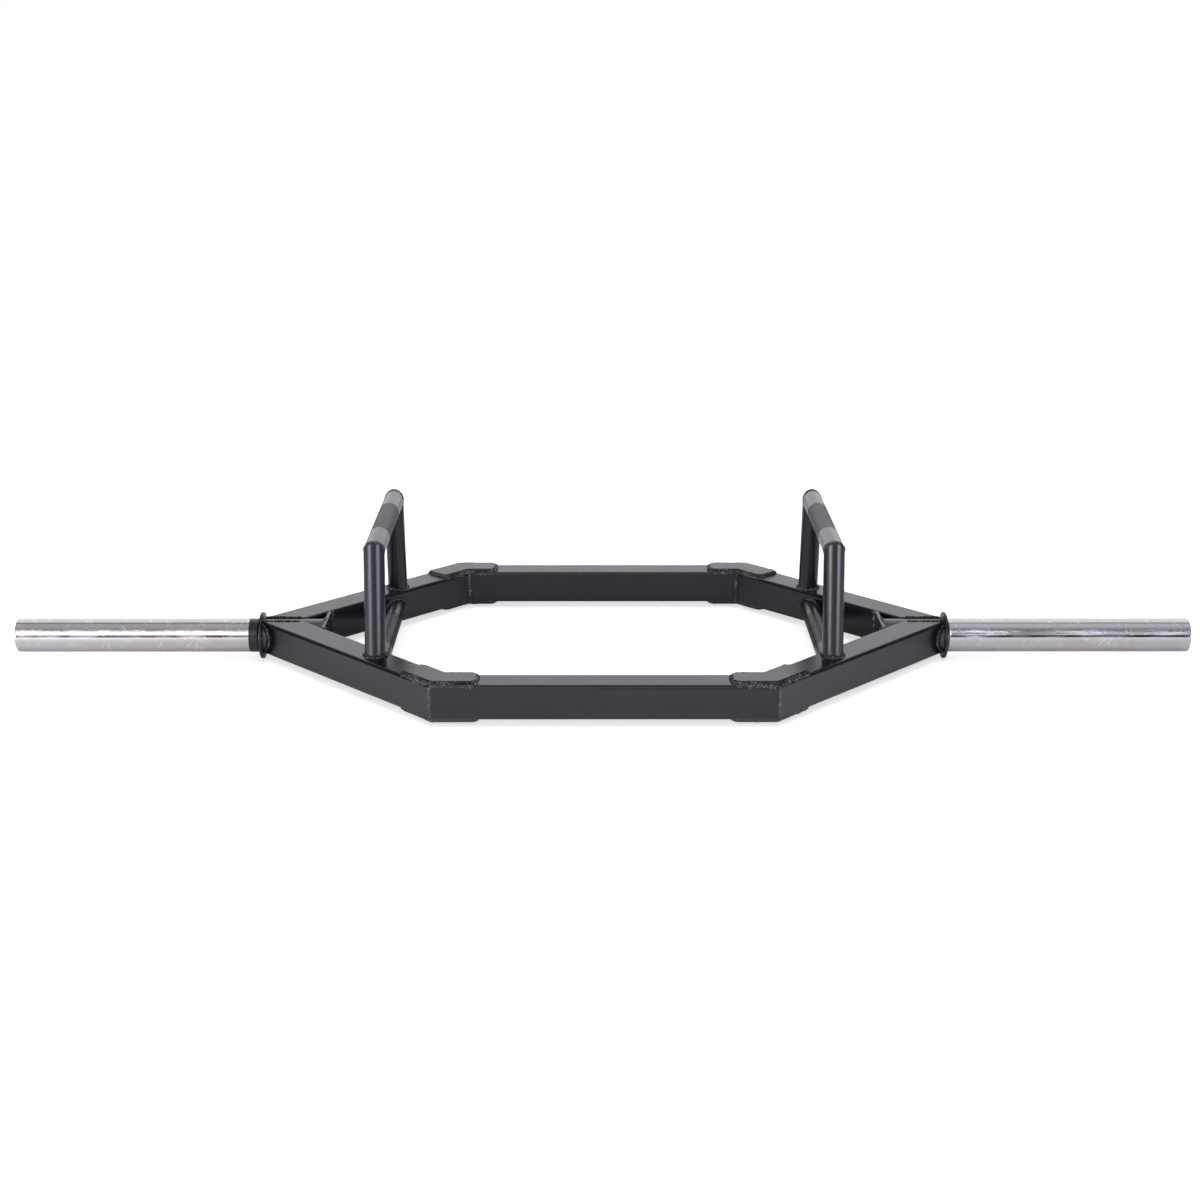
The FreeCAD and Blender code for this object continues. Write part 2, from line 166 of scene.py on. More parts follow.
class FrameSizes(bpy.types.PropertyGroup):
    """The welded hexagon of square tube."""
    tube_side: size_setting("Tube side", "Side of the square tube", 0.05)
    tube_rounding: size_setting("Tube rounding", "Radius of the square tube's edges", 0.005)
    corner_half_spacing: size_setting("Corner half spacing", "From the middle to a corner, along X", 0.228)
    rail_offset: size_setting("Rail offset", "From the middle to a rail's centre line", RAIL_OFFSET)
    arm_angle: angle_setting("Arm angle", "Angle between a rail and an arm", 47)
    gusset_width: size_setting("Gusset width", "Width of a corner plate's legs", 0.038)
    gusset_rail_leg: size_setting("Gusset rail leg", "Length of a corner plate's leg on a rail", 0.052)
    gusset_arm_leg: size_setting("Gusset arm leg", "Length of a corner plate's leg on an arm", 0.058)
    gusset_corner_cut: size_setting("Gusset corner cut", "Cut across a corner plate's outer corners", 0.005)
    gusset_thickness: size_setting("Gusset thickness", "Thickness of a corner plate", 0.005)
    apex_slot: size_setting("Apex slot", "Gap between the arms' tops over the sleeve", 0.02)
    crotch_face: size_setting("Crotch plate face", "From the middle to a crotch plate's outer face", 0.419)
    crotch_thickness: size_setting("Crotch plate thickness", "Thickness of a crotch plate", 0.005)
    plate_edge: size_setting("Plate edge", "Rounding that the paint leaves on a plate's edges", 0.0007)


class GripSizes(bpy.types.PropertyGroup):
    """The raised and lower grips and the knurling on them."""
    raised_radius: size_setting("Raised grip radius", "Radius of a raised grip and its posts", 0.015)
    raised_half_length: size_setting(
        "Raised grip half length", "From the middle to the corner with a post", 0.147)
    raised_height: size_setting("Raised grip height", "Height of a raised grip's axis", 0.207)
    post_lean: angle_setting("Post lean", "Angle of a post from upright", 9.273)
    post_foot: size_setting("Post foot", "From the middle to a post's foot, along Y", 0.171)
    lower_radius: size_setting("Lower grip radius", "Radius of a lower grip", 0.014)
    knurl_length: size_setting("Knurl length", "Length of the knurled middle", 0.14)
    diamond_length: size_setting("Diamond length", "Length of one diamond along the grip", 0.0028)
    diamonds_round: bpy.props.IntProperty(
        name="Diamonds round", description="Diamonds in one turn round the grip", default=56)
    knurl_depth: size_setting("Knurl depth", "Depth between diamonds", 0.00042)
    groove_width: size_setting("Groove width", "Width of the groove that ends the knurling", 0.0015)
    groove_depth: size_setting("Groove depth", "Depth of the groove that ends the knurling", 0.0006)


class SleeveSizes(bpy.types.PropertyGroup):
    """The plate sleeves, their plugs and collars."""
    radius: size_setting("Sleeve radius", "Outer radius of a sleeve", 0.025)
    wall: size_setting("Sleeve wall", "Wall of the sleeve tube", 0.004)
    spigot_radius: size_setting("Spigot radius", "Radius of the sleeve inside the frame", 0.0245)
    collar_face: size_setting("Collar face", "From the middle to a collar's inner face", 0.51)
    collar_thickness: size_setting("Collar thickness", "Thickness of a collar", 0.005)
    collar_radius: size_setting("Collar radius", "Outer radius of a collar", 0.035)
    end_rounding: size_setting("End rounding", "Rounding of a sleeve's outer edge", 0.0015)
    plug_recess: size_setting("Plug recess", "How far a plug is set into its sleeve", 0.0015)
    plug_thickness: size_setting("Plug thickness", "Thickness of a plug", 0.005)
    overspray_length: size_setting("Overspray length", "Paint that runs past the left collar", 0.016)


class WeldSizes(bpy.types.PropertyGroup):
    """Beads of weld."""
    ripple_pitch: size_setting("Ripple pitch", "Distance between the drops of a bead", 0.0047)
    ripple_depth: share_setting(
        "Ripple depth", "Depth of the crease between drops, as a share of the bead", 0.56)
    unevenness: share_setting("Unevenness", "How much a hand-held bead swells and wanders", 0.32)


class Finishes(bpy.types.PropertyGroup):
    """Colours and gloss."""
    paint: colour_setting("Paint", "Colour of the powder coat on the frame", (0.0048, 0.0044, 0.0072))
    grip: colour_setting("Grip coat", "Colour of the coat on the grips", (0.068, 0.065, 0.071))
    lower_grip: colour_setting(
        "Lower grip coat", "Colour of the coat on the lower grips", (0.012, 0.0115, 0.014))
    # The seam colour is painted shade: near-black lines beside the spigot that stand in for the shadow in the
    # crevices there
    seam: colour_setting("Seam", "Colour of the shade-painted seams beside the spigot", (0.004, 0.004, 0.005))
    thin_paint: colour_setting(
        "Thin paint", "Colour of the thin paint over the spigot", (0.075, 0.073, 0.078))
    chrome: colour_setting("Plating", "Colour of the plated sleeves", (0.56, 0.55, 0.565))
    paint_roughness: share_setting("Paint roughness", "Roughness of the powder coat", 0.24)
    weld_roughness: share_setting("Weld roughness", "Roughness of the paint over the welds", 0.15)
    shade_seam_roughness: share_setting("Seam roughness", "Roughness of the seams beside the spigot", 0.55)
    chrome_roughness: share_setting("Plating roughness", "Roughness of the clean plating", 0.008)


class Studio(bpy.types.PropertyGroup):
    """The camera."""
    lens: bpy.props.FloatProperty(
        name="Lens", description="Focal length on a 36 mm sensor", default=59.83, unit="CAMERA")
    distance: size_setting("Distance", "From the camera to the point that it looks at", 2.9904)
    pitch: angle_setting("Pitch", "How far the camera looks down", 16.71)
    yaw: angle_setting("Yaw", "Turn of the camera round the bar", -0.228)
    roll: angle_setting("Roll", "Roll of the camera", 0.057)
    target: bpy.props.FloatVectorProperty(
        name="Target", description="Point that the camera looks at", default=(-0.00537, 0.0, 0.0901),
        subtype="XYZ", unit="LENGTH")


class TrapBar(bpy.types.PropertyGroup):
    """Everything that the panel shows."""
    frame: bpy.props.PointerProperty(type=FrameSizes, name="Frame", description="Welded frame")
    grips: bpy.props.PointerProperty(type=GripSizes, name="Grips", description="Grips")
    sleeves: bpy.props.PointerProperty(type=SleeveSizes, name="Sleeves", description="Plate sleeves")
    welds: bpy.props.PointerProperty(type=WeldSizes, name="Welds", description="Weld beads")
    finishes: bpy.props.PointerProperty(type=Finishes, name="Finishes", description="Finishes")
    studio: bpy.props.PointerProperty(type=Studio, name="Studio", description="Studio")


# Shader maths

class Wire:
    """An output of a node tree; its sums and products add Math nodes."""

    def __init__(self, tree, socket=None):
        self.tree = tree
        self.socket = socket

    def node(self, kind, settings=None, inputs=None, output=0):
        """Add a node, set it up, feed its inputs by name or place, and give one of its outputs."""
        made = self.tree.nodes.new(kind)
        for key, setting in (settings or {}).items():
            setattr(made, key, setting)
        for key, feed in (inputs or {}).items():
            if isinstance(feed, Wire):
                self.tree.links.new(feed.socket, made.inputs[key])
            else:
                made.inputs[key].default_value = feed
        return Wire(self.tree, made.outputs[output]) if made.outputs else made

    def math(self, operation, *values):
        """A Math node fed by values or wires."""
        return self.node("ShaderNodeMath", {"operation": operation}, dict(enumerate(values)))

    def __add__(self, other):
        return self.math("ADD", self, other)

    __radd__ = __add__

    def __sub__(self, other):
        return self.math("SUBTRACT", self, other)

    def __rsub__(self, other):
        return self.math("SUBTRACT", other, self)

    def __mul__(self, other):
        return self.math("MULTIPLY", self, other)

    __rmul__ = __mul__

    def span(self, low, high, smooth=True):
        """0 below one value, 1 above the other, and a smooth or straight rise between them."""
        settings = {"interpolation_type": "SMOOTHSTEP" if smooth else "LINEAR", "clamp": True}
        return self.node("ShaderNodeMapRange", settings, {0: self, 1: low, 2: high})

    def band(self, low, low_end, high_start, high):
        """1 between two values, with a smooth rise before them and a smooth fall after."""
        return self.span(low, low_end) * (1 - self.span(high_start, high))

    def towards(self, share, target):
        """This value, going over to another one as a share rises to 1."""
        return self + share * (target - self)

    def noise(self, scale, detail=2.0, roughness=0.5):
        """Noise read at this vector."""
        inputs = {"Vector": self, "Scale": scale, "Detail": detail, "Roughness": roughness}
        return self.node("ShaderNodeTexNoise", None, inputs)

    def axis(self, number):
        """One of this vector's three numbers."""
        return self.node("ShaderNodeSeparateXYZ", None, {0: self}, number)

    def stretched(self, scale):
        """This vector with each of its axes scaled."""
        return self.node("ShaderNodeVectorMath", {"operation": "MULTIPLY"}, {0: self, 1: scale})

    def blend(self, first, second):
        """A colour that runs from the first to the second as this value rises."""
        return self.node("ShaderNodeMix", {"data_type": "RGBA"}, {0: self, 6: first, 7: second}, 2)


def start_material(name):
    """A new material with an empty tree: the material, a start for its nodes, and its coordinates."""
    material = bpy.data.materials.new(name)
    material.use_nodes = True
    material.node_tree.nodes.clear()
    start = Wire(material.node_tree)
    place = start.node("ShaderNodeTexCoord", None, None, 3)
    return material, start, place


def finish_material(start, inputs):
    """Feed a Principled shader and join it to the output."""
    shader = start.node("ShaderNodeBsdfPrincipled", None, inputs)
    start.node("ShaderNodeOutputMaterial", None, {"Surface": shader})


def bump(start, height, distance):
    """A normal from a height between 0 and 1, whose full range is a distance in metres."""
    return start.node("ShaderNodeBump", None, {"Height": height, "Distance": distance, "Strength": 1.0})


def powder_coat(name, colour, roughness, peel=0.00006, dust=0.0015):
    """Satin powder coat: orange peel, coarse and fine, and a shade and a gloss that drift slightly.

    peel is the height of the orange peel in metres, and dust is how much paler the coat drifts.
    """
    material, start, place = start_material(name)
    grain = place.noise(GRAIN_SCALE, 1.0)
    height = place.noise(PEEL_SCALE) * 0.35 + grain * 0.15 + place.noise(SAG_SCALE) * 0.5
    drift = place.noise(DRIFT_SCALE, 3.0).span(0.3, 0.7)
    paler = tuple(channel + dust for channel in colour)
    finish_material(start, {
        "Base Color": drift.blend((*colour, 1), (*paler, 1)),
        "Roughness": drift * 0.05 + (roughness - 0.025) + grain * 0.04,
        "Normal": bump(start, height, peel),
        "IOR": 1.55,
        "Specular Tint": (0.94, 0.91, 1.0, 1),
    })
    return material


def weld_coat(name, colour, roughness, wear_and_glint=0.6):
    """Paint over weld: glossier and lumpy, with pale spots over some of the drops, partly paint rubbed
    through and partly painted glints.
    """
    material, start, place = start_material(name)
    lumps = place.noise(LUMP_SCALE)
    spatter = place.noise(SPATTER_SCALE)
    # Pale spots on the drops: painted glints that stand in for the shine of the paint on the weld's lumps,
    # and partly bare metal where the paint is rubbed through
    thin = place.noise(WEAR_AND_GLINT_SCALE, 2.0, 0.6).span(0.53, 0.64)
    glints_and_wear = (thin * place.noise(WEAR_AND_GLINT_PATCH_SCALE, 1.0).span(0.38, 0.6)) * wear_and_glint
    finish_material(start, {
        "Base Color": glints_and_wear.blend((*colour, 1), WEAR_AND_GLINT_COLOUR),
        "Roughness": spatter * 0.08 + (roughness - 0.04),
        "Normal": bump(start, lumps * 0.75 + spatter * 0.25, 0.0009),
        "IOR": 1.6,
    })
    return material


def chrome_plate(name, colour, roughness):
    """Bright plating, nearly a mirror: fine drawn lines along it, wipe marks, smudges, stains and specks."""
    material, start, place = start_material(name)
    drawn = place.stretched((0.015, 1.0, 1.0)).noise(DRAWN_SCALE, 3.0)
    smear = place.stretched((0.8, 1.4, 1.4)).noise(SMUDGE_SCALE, 4.0, 0.6).span(0.54, 0.66)
    strokes = []
    for lean, stroke_scale in WIPES:
        turned = start.node("ShaderNodeMapping", None, {"Vector": place, "Rotation": (0.0, lean, 0.0)})
        stroke = turned.stretched((1.0, 0.1, 0.08)).noise(stroke_scale, 2.0, 0.6)
        patch = turned.stretched((1.0, 1.6, 1.6)).noise(WIPE_PATCH_SCALE, 1.0)
        strokes.append(stroke.span(0.53, 0.61) * patch.span(0.54, 0.64))
    wiped = start.math("MAXIMUM", *strokes)
    stain = place.stretched((1.0, 1.4, 1.4)).noise(STAIN_SCALE, 3.0).span(0.46, 0.62)
    speck = place.noise(SPECK_SCALE, 3.0, 0.7).span(0.72, 0.77)

    def shade(red, green, blue):
        return (colour[0] * red, colour[1] * green, colour[2] * blue, 1)

    base = stain.blend((*colour, 1), shade(0.995, 0.95, 0.93))
    base = (smear * 0.7).blend(base, shade(1.05, 1.05, 1.05))
    base = (wiped * 0.8).blend(base, shade(1.3, 1.3, 1.3))
    finish_material(start, {
        "Base Color": speck.blend(base, SPECK_COLOUR),
        "Metallic": 1.0,
        "Roughness": smear * 0.02 + wiped * 0.17 + speck * 0.3 + roughness,
        "Normal": bump(start, drawn, 0.00008),
    })
    return material


# Surfaces worked out with numpy

def circle(count=96):
    """Angles once round."""
    return np.linspace(0, 2 * np.pi, count, endpoint=False)


def xyz(*parts):
    """Points or vectors from their parts, each an array or one number for all of them."""
    return np.stack(np.broadcast_arrays(*parts), axis=-1)


def fan_volume(points, group):
    """Six times the volume between the origin and a group of faces, each cut into a fan."""
    first = points[group[:, :1]]
    second = points[group[:, 1:-1]]
    third = points[group[:, 2:]]
    return float(np.sum(np.cross(second, third) * first))


def make_piece(name, surface, finish, replaced=(), flat=()):
    """A piece from a surface, whose faces are turned outwards, that rides on the body.

    A surface is its points and a list of arrays of faces, one for each number of corners; flat
    holds the places in that list of the groups that are shaded flat.
    """
    points, faces = surface
    points = np.ascontiguousarray(points, float)
    faces = [np.asarray(group) for group in faces]
    if sum(fan_volume(points, group) for group in faces) < 0:
        faces = [group[:, ::-1] for group in faces]
    corners = np.concatenate([group.ravel() for group in faces]).astype(np.int32)
    counts = np.concatenate([np.full(len(group), group.shape[1]) for group in faces])
    smooth = np.concatenate([np.full(len(group), place not in flat) for place, group in enumerate(faces)])
    starts = np.concatenate([[0], np.cumsum(counts)[:-1]]).astype(np.int32)
    mesh = bpy.data.meshes.new(name)
    mesh.vertices.add(len(points))
    mesh.vertices.foreach_set("co", points.astype(np.float32).ravel())
    mesh.loops.add(len(corners))
    mesh.loops.foreach_set("vertex_index", corners)
    mesh.polygons.add(len(starts))
    mesh.polygons.foreach_set("loop_start", starts)
    mesh.update(calc_edges=True)
    mesh.polygons.foreach_set("use_smooth", smooth)
    mesh.update()
    if mesh.validate():
        raise RuntimeError(f"{name} has faces that had to be mended")
    piece = bpy.data.objects.new(name, mesh)
    bpy.context.scene.collection.objects.link(piece)
    mesh.materials.append(bpy.data.materials[finish])
    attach(piece, BODY)
    if replaced:
        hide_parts(*replaced)
    return piece


def make_skin(name, surface, finish, node, flat=()):
    """A piece that stands for a CAD node, shaded so that its flats stay flat beside narrow roundings."""
    piece = make_piece(name, surface, finish, (node,), flat)
    modifier = piece.modifiers.new("face weighted shading", "WEIGHTED_NORMAL")
    modifier.keep_sharp = True


def ring_quads(index, closed_path):
    """Quads of a grid of point numbers whose columns go round; the rows may close up too."""
    below = index if closed_path else index[:-1]
    above = np.roll(index, -1, axis=0) if closed_path else index[1:]
    corners = (below, np.roll(below, -1, axis=1), np.roll(above, -1, axis=1), above)
    return np.stack(corners, axis=-1).reshape(-1, 4)


def end_fans(grid, index):
    """Two more points, at the middles of the first and last rows, and the fans that close them."""
    rows, columns, _ = grid.shape
    count = rows * columns
    extra = np.stack([grid[0].mean(axis=0), grid[-1].mean(axis=0)])
    first = xyz(count, np.roll(index[0], -1), index[0])
    last = xyz(count + 1, index[-1], np.roll(index[-1], -1))
    return extra, np.concatenate([first, last])


def tube_surface(grid, closed_path=False):
    """Points and faces of a grid that goes round by columns and along a path by rows."""
    rows, columns, _ = grid.shape
    index = np.arange(rows * columns).reshape(rows, columns)
    points = grid.reshape(-1, 3)
    quads = ring_quads(index, closed_path)
    if closed_path:
        return points, [quads]
    extra, fans = end_fans(grid, index)
    return np.concatenate([points, extra]), [quads, fans]


def rounded_outline(corners, radius, arc_points=7):
    """A closed outline whose corners are arcs that touch both sides: points and outward normals.

    Each arc runs about the point on the corner's bisector that is one radius from both sides.
    """
    corners = np.asarray(corners, float)
    back = np.roll(corners, 1, axis=0) - corners
    ahead = np.roll(corners, -1, axis=0) - corners
    back /= np.linalg.norm(back, axis=1, keepdims=True)
    ahead /= np.linalg.norm(ahead, axis=1, keepdims=True)
    half = np.arccos(np.clip(np.sum(back * ahead, axis=1), -1, 1)) / 2
    bisector = back + ahead
    bisector /= np.linalg.norm(bisector, axis=1, keepdims=True)
    centre = corners + bisector * (radius / np.sin(half))[:, None]
    reach = (radius / np.tan(half))[:, None]
    begin = corners + back * reach - centre
    end = corners + ahead * reach - centre
    sweep = (np.pi - 2 * half)[:, None, None]
    share = np.linspace(0, 1, arc_points)[None, :, None]
    arm = np.sin((1 - share) * sweep) * begin[:, None] + np.sin(share * sweep) * end[:, None]
    arm /= np.sin(sweep)
    area = np.sum(corners[:, 0] * np.roll(corners[:, 1], -1) - np.roll(corners[:, 0], -1) * corners[:, 1])
    turn = back[:, 1] * ahead[:, 0] - back[:, 0] * ahead[:, 1]
    sign = np.sign(turn * area)[:, None, None]
    points = centre[:, None] + arm
    normals = sign * arm / radius
    return points.reshape(-1, 2), normals.reshape(-1, 2)


def plate_surface(corners, low, high, edge, corner_radius=PLATE_CORNER_RADIUS):
    """A flat plate with rounded edges: its outline drawn in by a profile that goes up its side.

    The profile is (edge, low), a quarter circle, the upright side, a quarter circle, (edge, high).
    """
    outline, normals = rounded_outline(corners, corner_radius)
    quarter = np.linspace(0, np.pi / 2, 6)
    draw_in = np.concatenate([edge - edge * np.sin(quarter), edge - edge * np.cos(quarter)])
    rise = np.concatenate([low + edge - edge * np.cos(quarter), high - edge + edge * np.sin(quarter)])
    flat = outline[None] - normals[None] * draw_in[:, None, None]
    height = np.broadcast_to(rise[:, None, None], (len(rise), len(outline), 1))
    grid = np.concatenate([flat, height], axis=-1)
    index = np.arange(grid.shape[0] * grid.shape[1]).reshape(grid.shape[:2])
    quads = ring_quads(index, False)
    return grid.reshape(-1, 3), [quads, index[:1, ::-1], index[-1:]]


def turned_surface(profile, segments, closed_path):
    """A profile of (along X, radius) turned about X."""
    turn = circle(segments)
    along, radius = np.asarray(profile, float).T[..., None]
    return tube_surface(xyz(along, radius * np.cos(turn), radius * np.sin(turn)), closed_path)


def resample(path, vectors, spacing, closed):
    """Points evenly spaced along a path, with the vectors that belong to them."""
    if closed:
        path = np.concatenate([path, path[:1]])
        vectors = np.concatenate([vectors, vectors[:1]])
    travelled = np.concatenate([[0], np.cumsum(np.linalg.norm(np.diff(path, axis=0), axis=1))])
    count = max(int(round(travelled[-1] / spacing)), 8)
    where = np.linspace(0, travelled[-1], count, endpoint=not closed)
    points = np.stack([np.interp(where, travelled, path[:, axis]) for axis in range(3)], axis=-1)
    turned = np.stack([np.interp(where, travelled, vectors[:, axis]) for axis in range(3)], axis=-1)
    turned /= np.linalg.norm(turned, axis=1, keepdims=True)
    return points, turned, where, travelled[-1]


def hand_wobble(where, length, seed, waves=6):
    """A smooth value between about -1 and 1 along a path, the same at both of its ends.

    It is a sum of sines, each a whole number of cycles long, with random phases and shares.
    """
    longest_wave = 0.06
    generator = np.random.default_rng(seed)
    cycles = np.arange(1, waves + 1) * max(1, int(length / longest_wave))
    phase = generator.uniform(0, 2 * np.pi, waves)
    share = generator.uniform(0.4, 1.0, waves) / np.sqrt(np.arange(1, waves + 1))
    angle = 2 * np.pi * where[:, None] / length * cycles + phase
    return np.sum(share * np.sin(angle), axis=1) / np.sum(share)


def bead_surface(path, outward, bead, welds, seed, closed):
    """A bead of weld: an ellipse carried along a path, as a row of frozen drops.

    Along the path the ellipse is multiplied by 1 - depth * (2 * drop - 1) ** 2, where drop is how
    far it is through its own drop; each drop trails at the bead's sides.  A slow wobble makes the
    bead swell, and an open bead closes at its ends as a quarter circle does.
    """
    half_width, height = bead
    trail = 0.55
    closed_end = 0.03
    points, out, where, length = resample(path, outward, welds.ripple_pitch / ROWS_TO_A_DROP, closed)
    if closed:
        tangent = np.roll(points, -1, axis=0) - np.roll(points, 1, axis=0)
    else:
        tangent = np.gradient(points, axis=0)
    across = np.cross(tangent, out)
    across /= np.linalg.norm(across, axis=1, keepdims=True)
    turn = circle(BEAD_ROUND_POINTS)
    drops = max(int(round(length / welds.ripple_pitch)), 3)
    phase = where[:, None] / length * drops - trail * np.cos(turn) ** 2
    pace = hand_wobble(where, length, seed + 7)[:, None] * 0.5
    drop = (phase + pace) % 1.0
    ripple = 1 - welds.ripple_depth * (2 * drop - 1) ** 2
    swell = 1 + welds.unevenness * hand_wobble(where, length, seed)[:, None]
    close = np.ones(len(where))
    if not closed:
        from_end = np.minimum(where, length - where) / height
        close = np.sqrt(np.clip(1 - (1 - np.minimum(from_end, 1)) ** 2, closed_end, 1))
    size = ripple * swell * close[:, None]
    drift = hand_wobble(where, length, seed + 13)[:, None] * welds.unevenness * half_width * 0.5
    centre = points + across * drift
    grid = (
        centre[:, None]
        + across[:, None] * (half_width * np.cos(turn) * size)[..., None]
        + out[:, None] * (height * np.sin(turn) * size)[..., None]
    )
    return tube_surface(grid, closed)


def add_bead(name, path, outward, bead, closed=False, finish="weld_coat"):
    """One weld bead as its own piece; its name gives the seed of its unevenness."""
    welds = bpy.context.scene.trap_bar.welds
    outward = np.broadcast_to(np.asarray(outward, float), path.shape)
    surface = bead_surface(path, outward, bead, welds, sum(name.encode()), closed)
    make_piece(name, surface, finish)


# Shapes that several pieces share

def gusset_corners(sizes, side_x, side_y):
    """A corner plate's outline in plan, from the angle and the sizes of its legs."""
    angle = sizes.arm_angle
    half = sizes.gusset_width / 2
    rail_leg = sizes.gusset_rail_leg
    arm_leg = sizes.gusset_arm_leg
    cut = sizes.gusset_corner_cut
    half_mitre = math.tan(angle / 2)

    def on_arm(along, inward):
        x = along * math.cos(angle) - inward * math.sin(angle)
        y = along * math.sin(angle) + inward * math.cos(angle)
        return x, y

    corners = (
        (half_mitre * half, -half),
        on_arm(arm_leg - cut, -half),
        on_arm(arm_leg, cut - half),
        on_arm(arm_leg, half - cut),
        on_arm(arm_leg - cut, half),
        (-half_mitre * half, half),
        (cut - rail_leg, half),
        (-rail_leg, half - cut),
        (-rail_leg, cut - half),
        (cut - rail_leg, -half),
    )
    # Drawn for the front right corner, then turned over for the others
    flip = np.array([side_x, -side_y])
    middle = np.array([side_x * sizes.corner_half_spacing, side_y * sizes.rail_offset])
    return np.array(corners) * flip + middle


def mitre_point(sizes, side_x, side_y, offset, height):
    """A point of a corner's mitre plane, by its distance from both centre lines and its height."""
    half_mitre = math.tan(sizes.arm_angle / 2)
    x = side_x * (sizes.corner_half_spacing + half_mitre * offset)
    y = side_y * (sizes.rail_offset + offset)
    return xyz(x, y, height)


def tube_edge_path(sizes, reach=0.0045):
    """Down a tube's side in its cross section: (offset, height) from the middle, and its outward way.

    It starts on the top flat, goes round the rounded edge, down the side and round underneath.
    """
    half = sizes.tube_side / 2
    quarter = np.linspace(0, np.pi / 2, 12)
    over_way = xyz(np.sin(quarter), np.cos(quarter))
    over = (half - sizes.tube_rounding) + sizes.tube_rounding * over_way
    upper = np.concatenate([[(half - sizes.tube_rounding - reach, half)], over])
    upper_way = np.concatenate([[(0.0, 1.0)], over_way])
    underneath = np.array([1, -1])
    path = np.concatenate([upper, upper[::-1] * underneath])
    way = np.concatenate([upper_way, upper_way[::-1] * underneath])
    return path, way


def arm_outer_x(sizes, y, outward=1):
    """|X| where an arm's outer (1) or inner (-1) face is at a distance y from the bar's axis."""
    slant = outward * sizes.tube_side / 2 / math.cos(sizes.arm_angle)
    return sizes.corner_half_spacing + (sizes.rail_offset + slant - y) / math.tan(sizes.arm_angle)


# The pieces

class TRAPBAR_OT_finishes(bpy.types.Operator):
    """Make the finishes and paint the tubes that keep their CAD shape"""
    bl_idname = "trapbar.finishes"
    bl_label = "Paint the frame"

    def execute(self, context):
        looks = context.scene.trap_bar.finishes
        paint = powder_coat("powder_coat", tuple(looks.paint), looks.paint_roughness)
        weld_coat("weld_coat", tuple(looks.paint), looks.weld_roughness)
        # Fewer painted glints on the bottom beads, and more on the outer corner beads
        weld_coat("full_weld_coat", tuple(looks.paint), looks.weld_roughness, wear_and_glint=0.12)
        weld_coat("corner_weld_coat", tuple(looks.paint), looks.weld_roughness, wear_and_glint=0.35)
        # Painted shade: a near-black, rough coat for the dark crevice lines beside the spigot
        powder_coat("shade_seam_coat", tuple(looks.seam), looks.shade_seam_roughness, dust=0.0)
        powder_coat("thin_coat", tuple(looks.thin_paint), looks.weld_roughness)
        powder_coat("grip_coat", tuple(looks.grip), looks.paint_roughness - 0.03, GRIP_PEEL)
        powder_coat("lower_grip_coat", tuple(looks.lower_grip), looks.paint_roughness, GRIP_PEEL)
        chrome_plate("chrome", tuple(looks.chrome), looks.chrome_roughness)
        for name, node in frame["nodes"].items():
            if name.endswith(("_rail", "_arm", "_post")):
                for slot in node.material_slots:
                    slot.material = paint
        return {"FINISHED"}


class TRAPBAR_OT_gussets(bpy.types.Operator):
    """Eight corner plates with painted, rounded edges"""
    bl_idname = "trapbar.gussets"
    bl_label = "Corner plates"

    def execute(self, context):
        sizes = context.scene.trap_bar.frame
        half = sizes.tube_side / 2
        for end, side, side_x, side_y in CORNERS:
            corners = gusset_corners(sizes, side_x, side_y)
            for level, up in LEVELS:
                near = AXIS_HEIGHT + up * half
                far = near + up * sizes.gusset_thickness
                surface = plate_surface(corners, min(near, far), max(near, far), sizes.plate_edge)
                node = f"{end}_{side}_{level}_gusset"
                make_skin(f"{node}_plate", surface, "powder_coat", node, flat=(1, 2))
        return {"FINISHED"}


class TRAPBAR_OT_crotch_plates(bpy.types.Operator):
    """The upright plates between the arms"""
    bl_idname = "trapbar.crotch_plates"
    bl_label = "Crotch plates"

    def execute(self, context):
        sizes = context.scene.trap_bar.frame
        outer = sizes.crotch_face
        inner = outer - sizes.crotch_thickness
        meeting = arm_outer_x(sizes, 0.0, -1)
        slope = math.tan(sizes.arm_angle)
        outer_half = (meeting - outer) * slope
        inner_half = (meeting - inner) * slope
        low = AXIS_HEIGHT - sizes.tube_side / 2
        high = AXIS_HEIGHT + sizes.tube_side / 2
        corners = [(outer, -outer_half), (outer, outer_half), (inner, inner_half), (inner, -inner_half)]
        for side, side_x in SIDES:
            placed = np.array(corners) * (side_x, 1)
            surface = plate_surface(placed, low, high, sizes.plate_edge, CROTCH_CORNER_RADIUS)
            node = f"{side}_crotch_plate"
            make_skin(f"{node}_skin", surface, "powder_coat", node, flat=(1, 2))
        return {"FINISHED"}


def knurl_height(row, column):
    """Height of a diamond knurl from 0 to 1 at a grid point, four of them to a diamond each way.

    Two families of V grooves cross: each is a triangle wave of the sum or the difference of the
    two places, the lower of them counts, and its slopes are rounded by h * (2 - h).
    """
    def groove(place):
        return 1 - np.abs(2 * ((place / 4) % 1.0) - 1)

    height = np.minimum(groove(row + column), groove(row - column))
    return height * (2 - height)


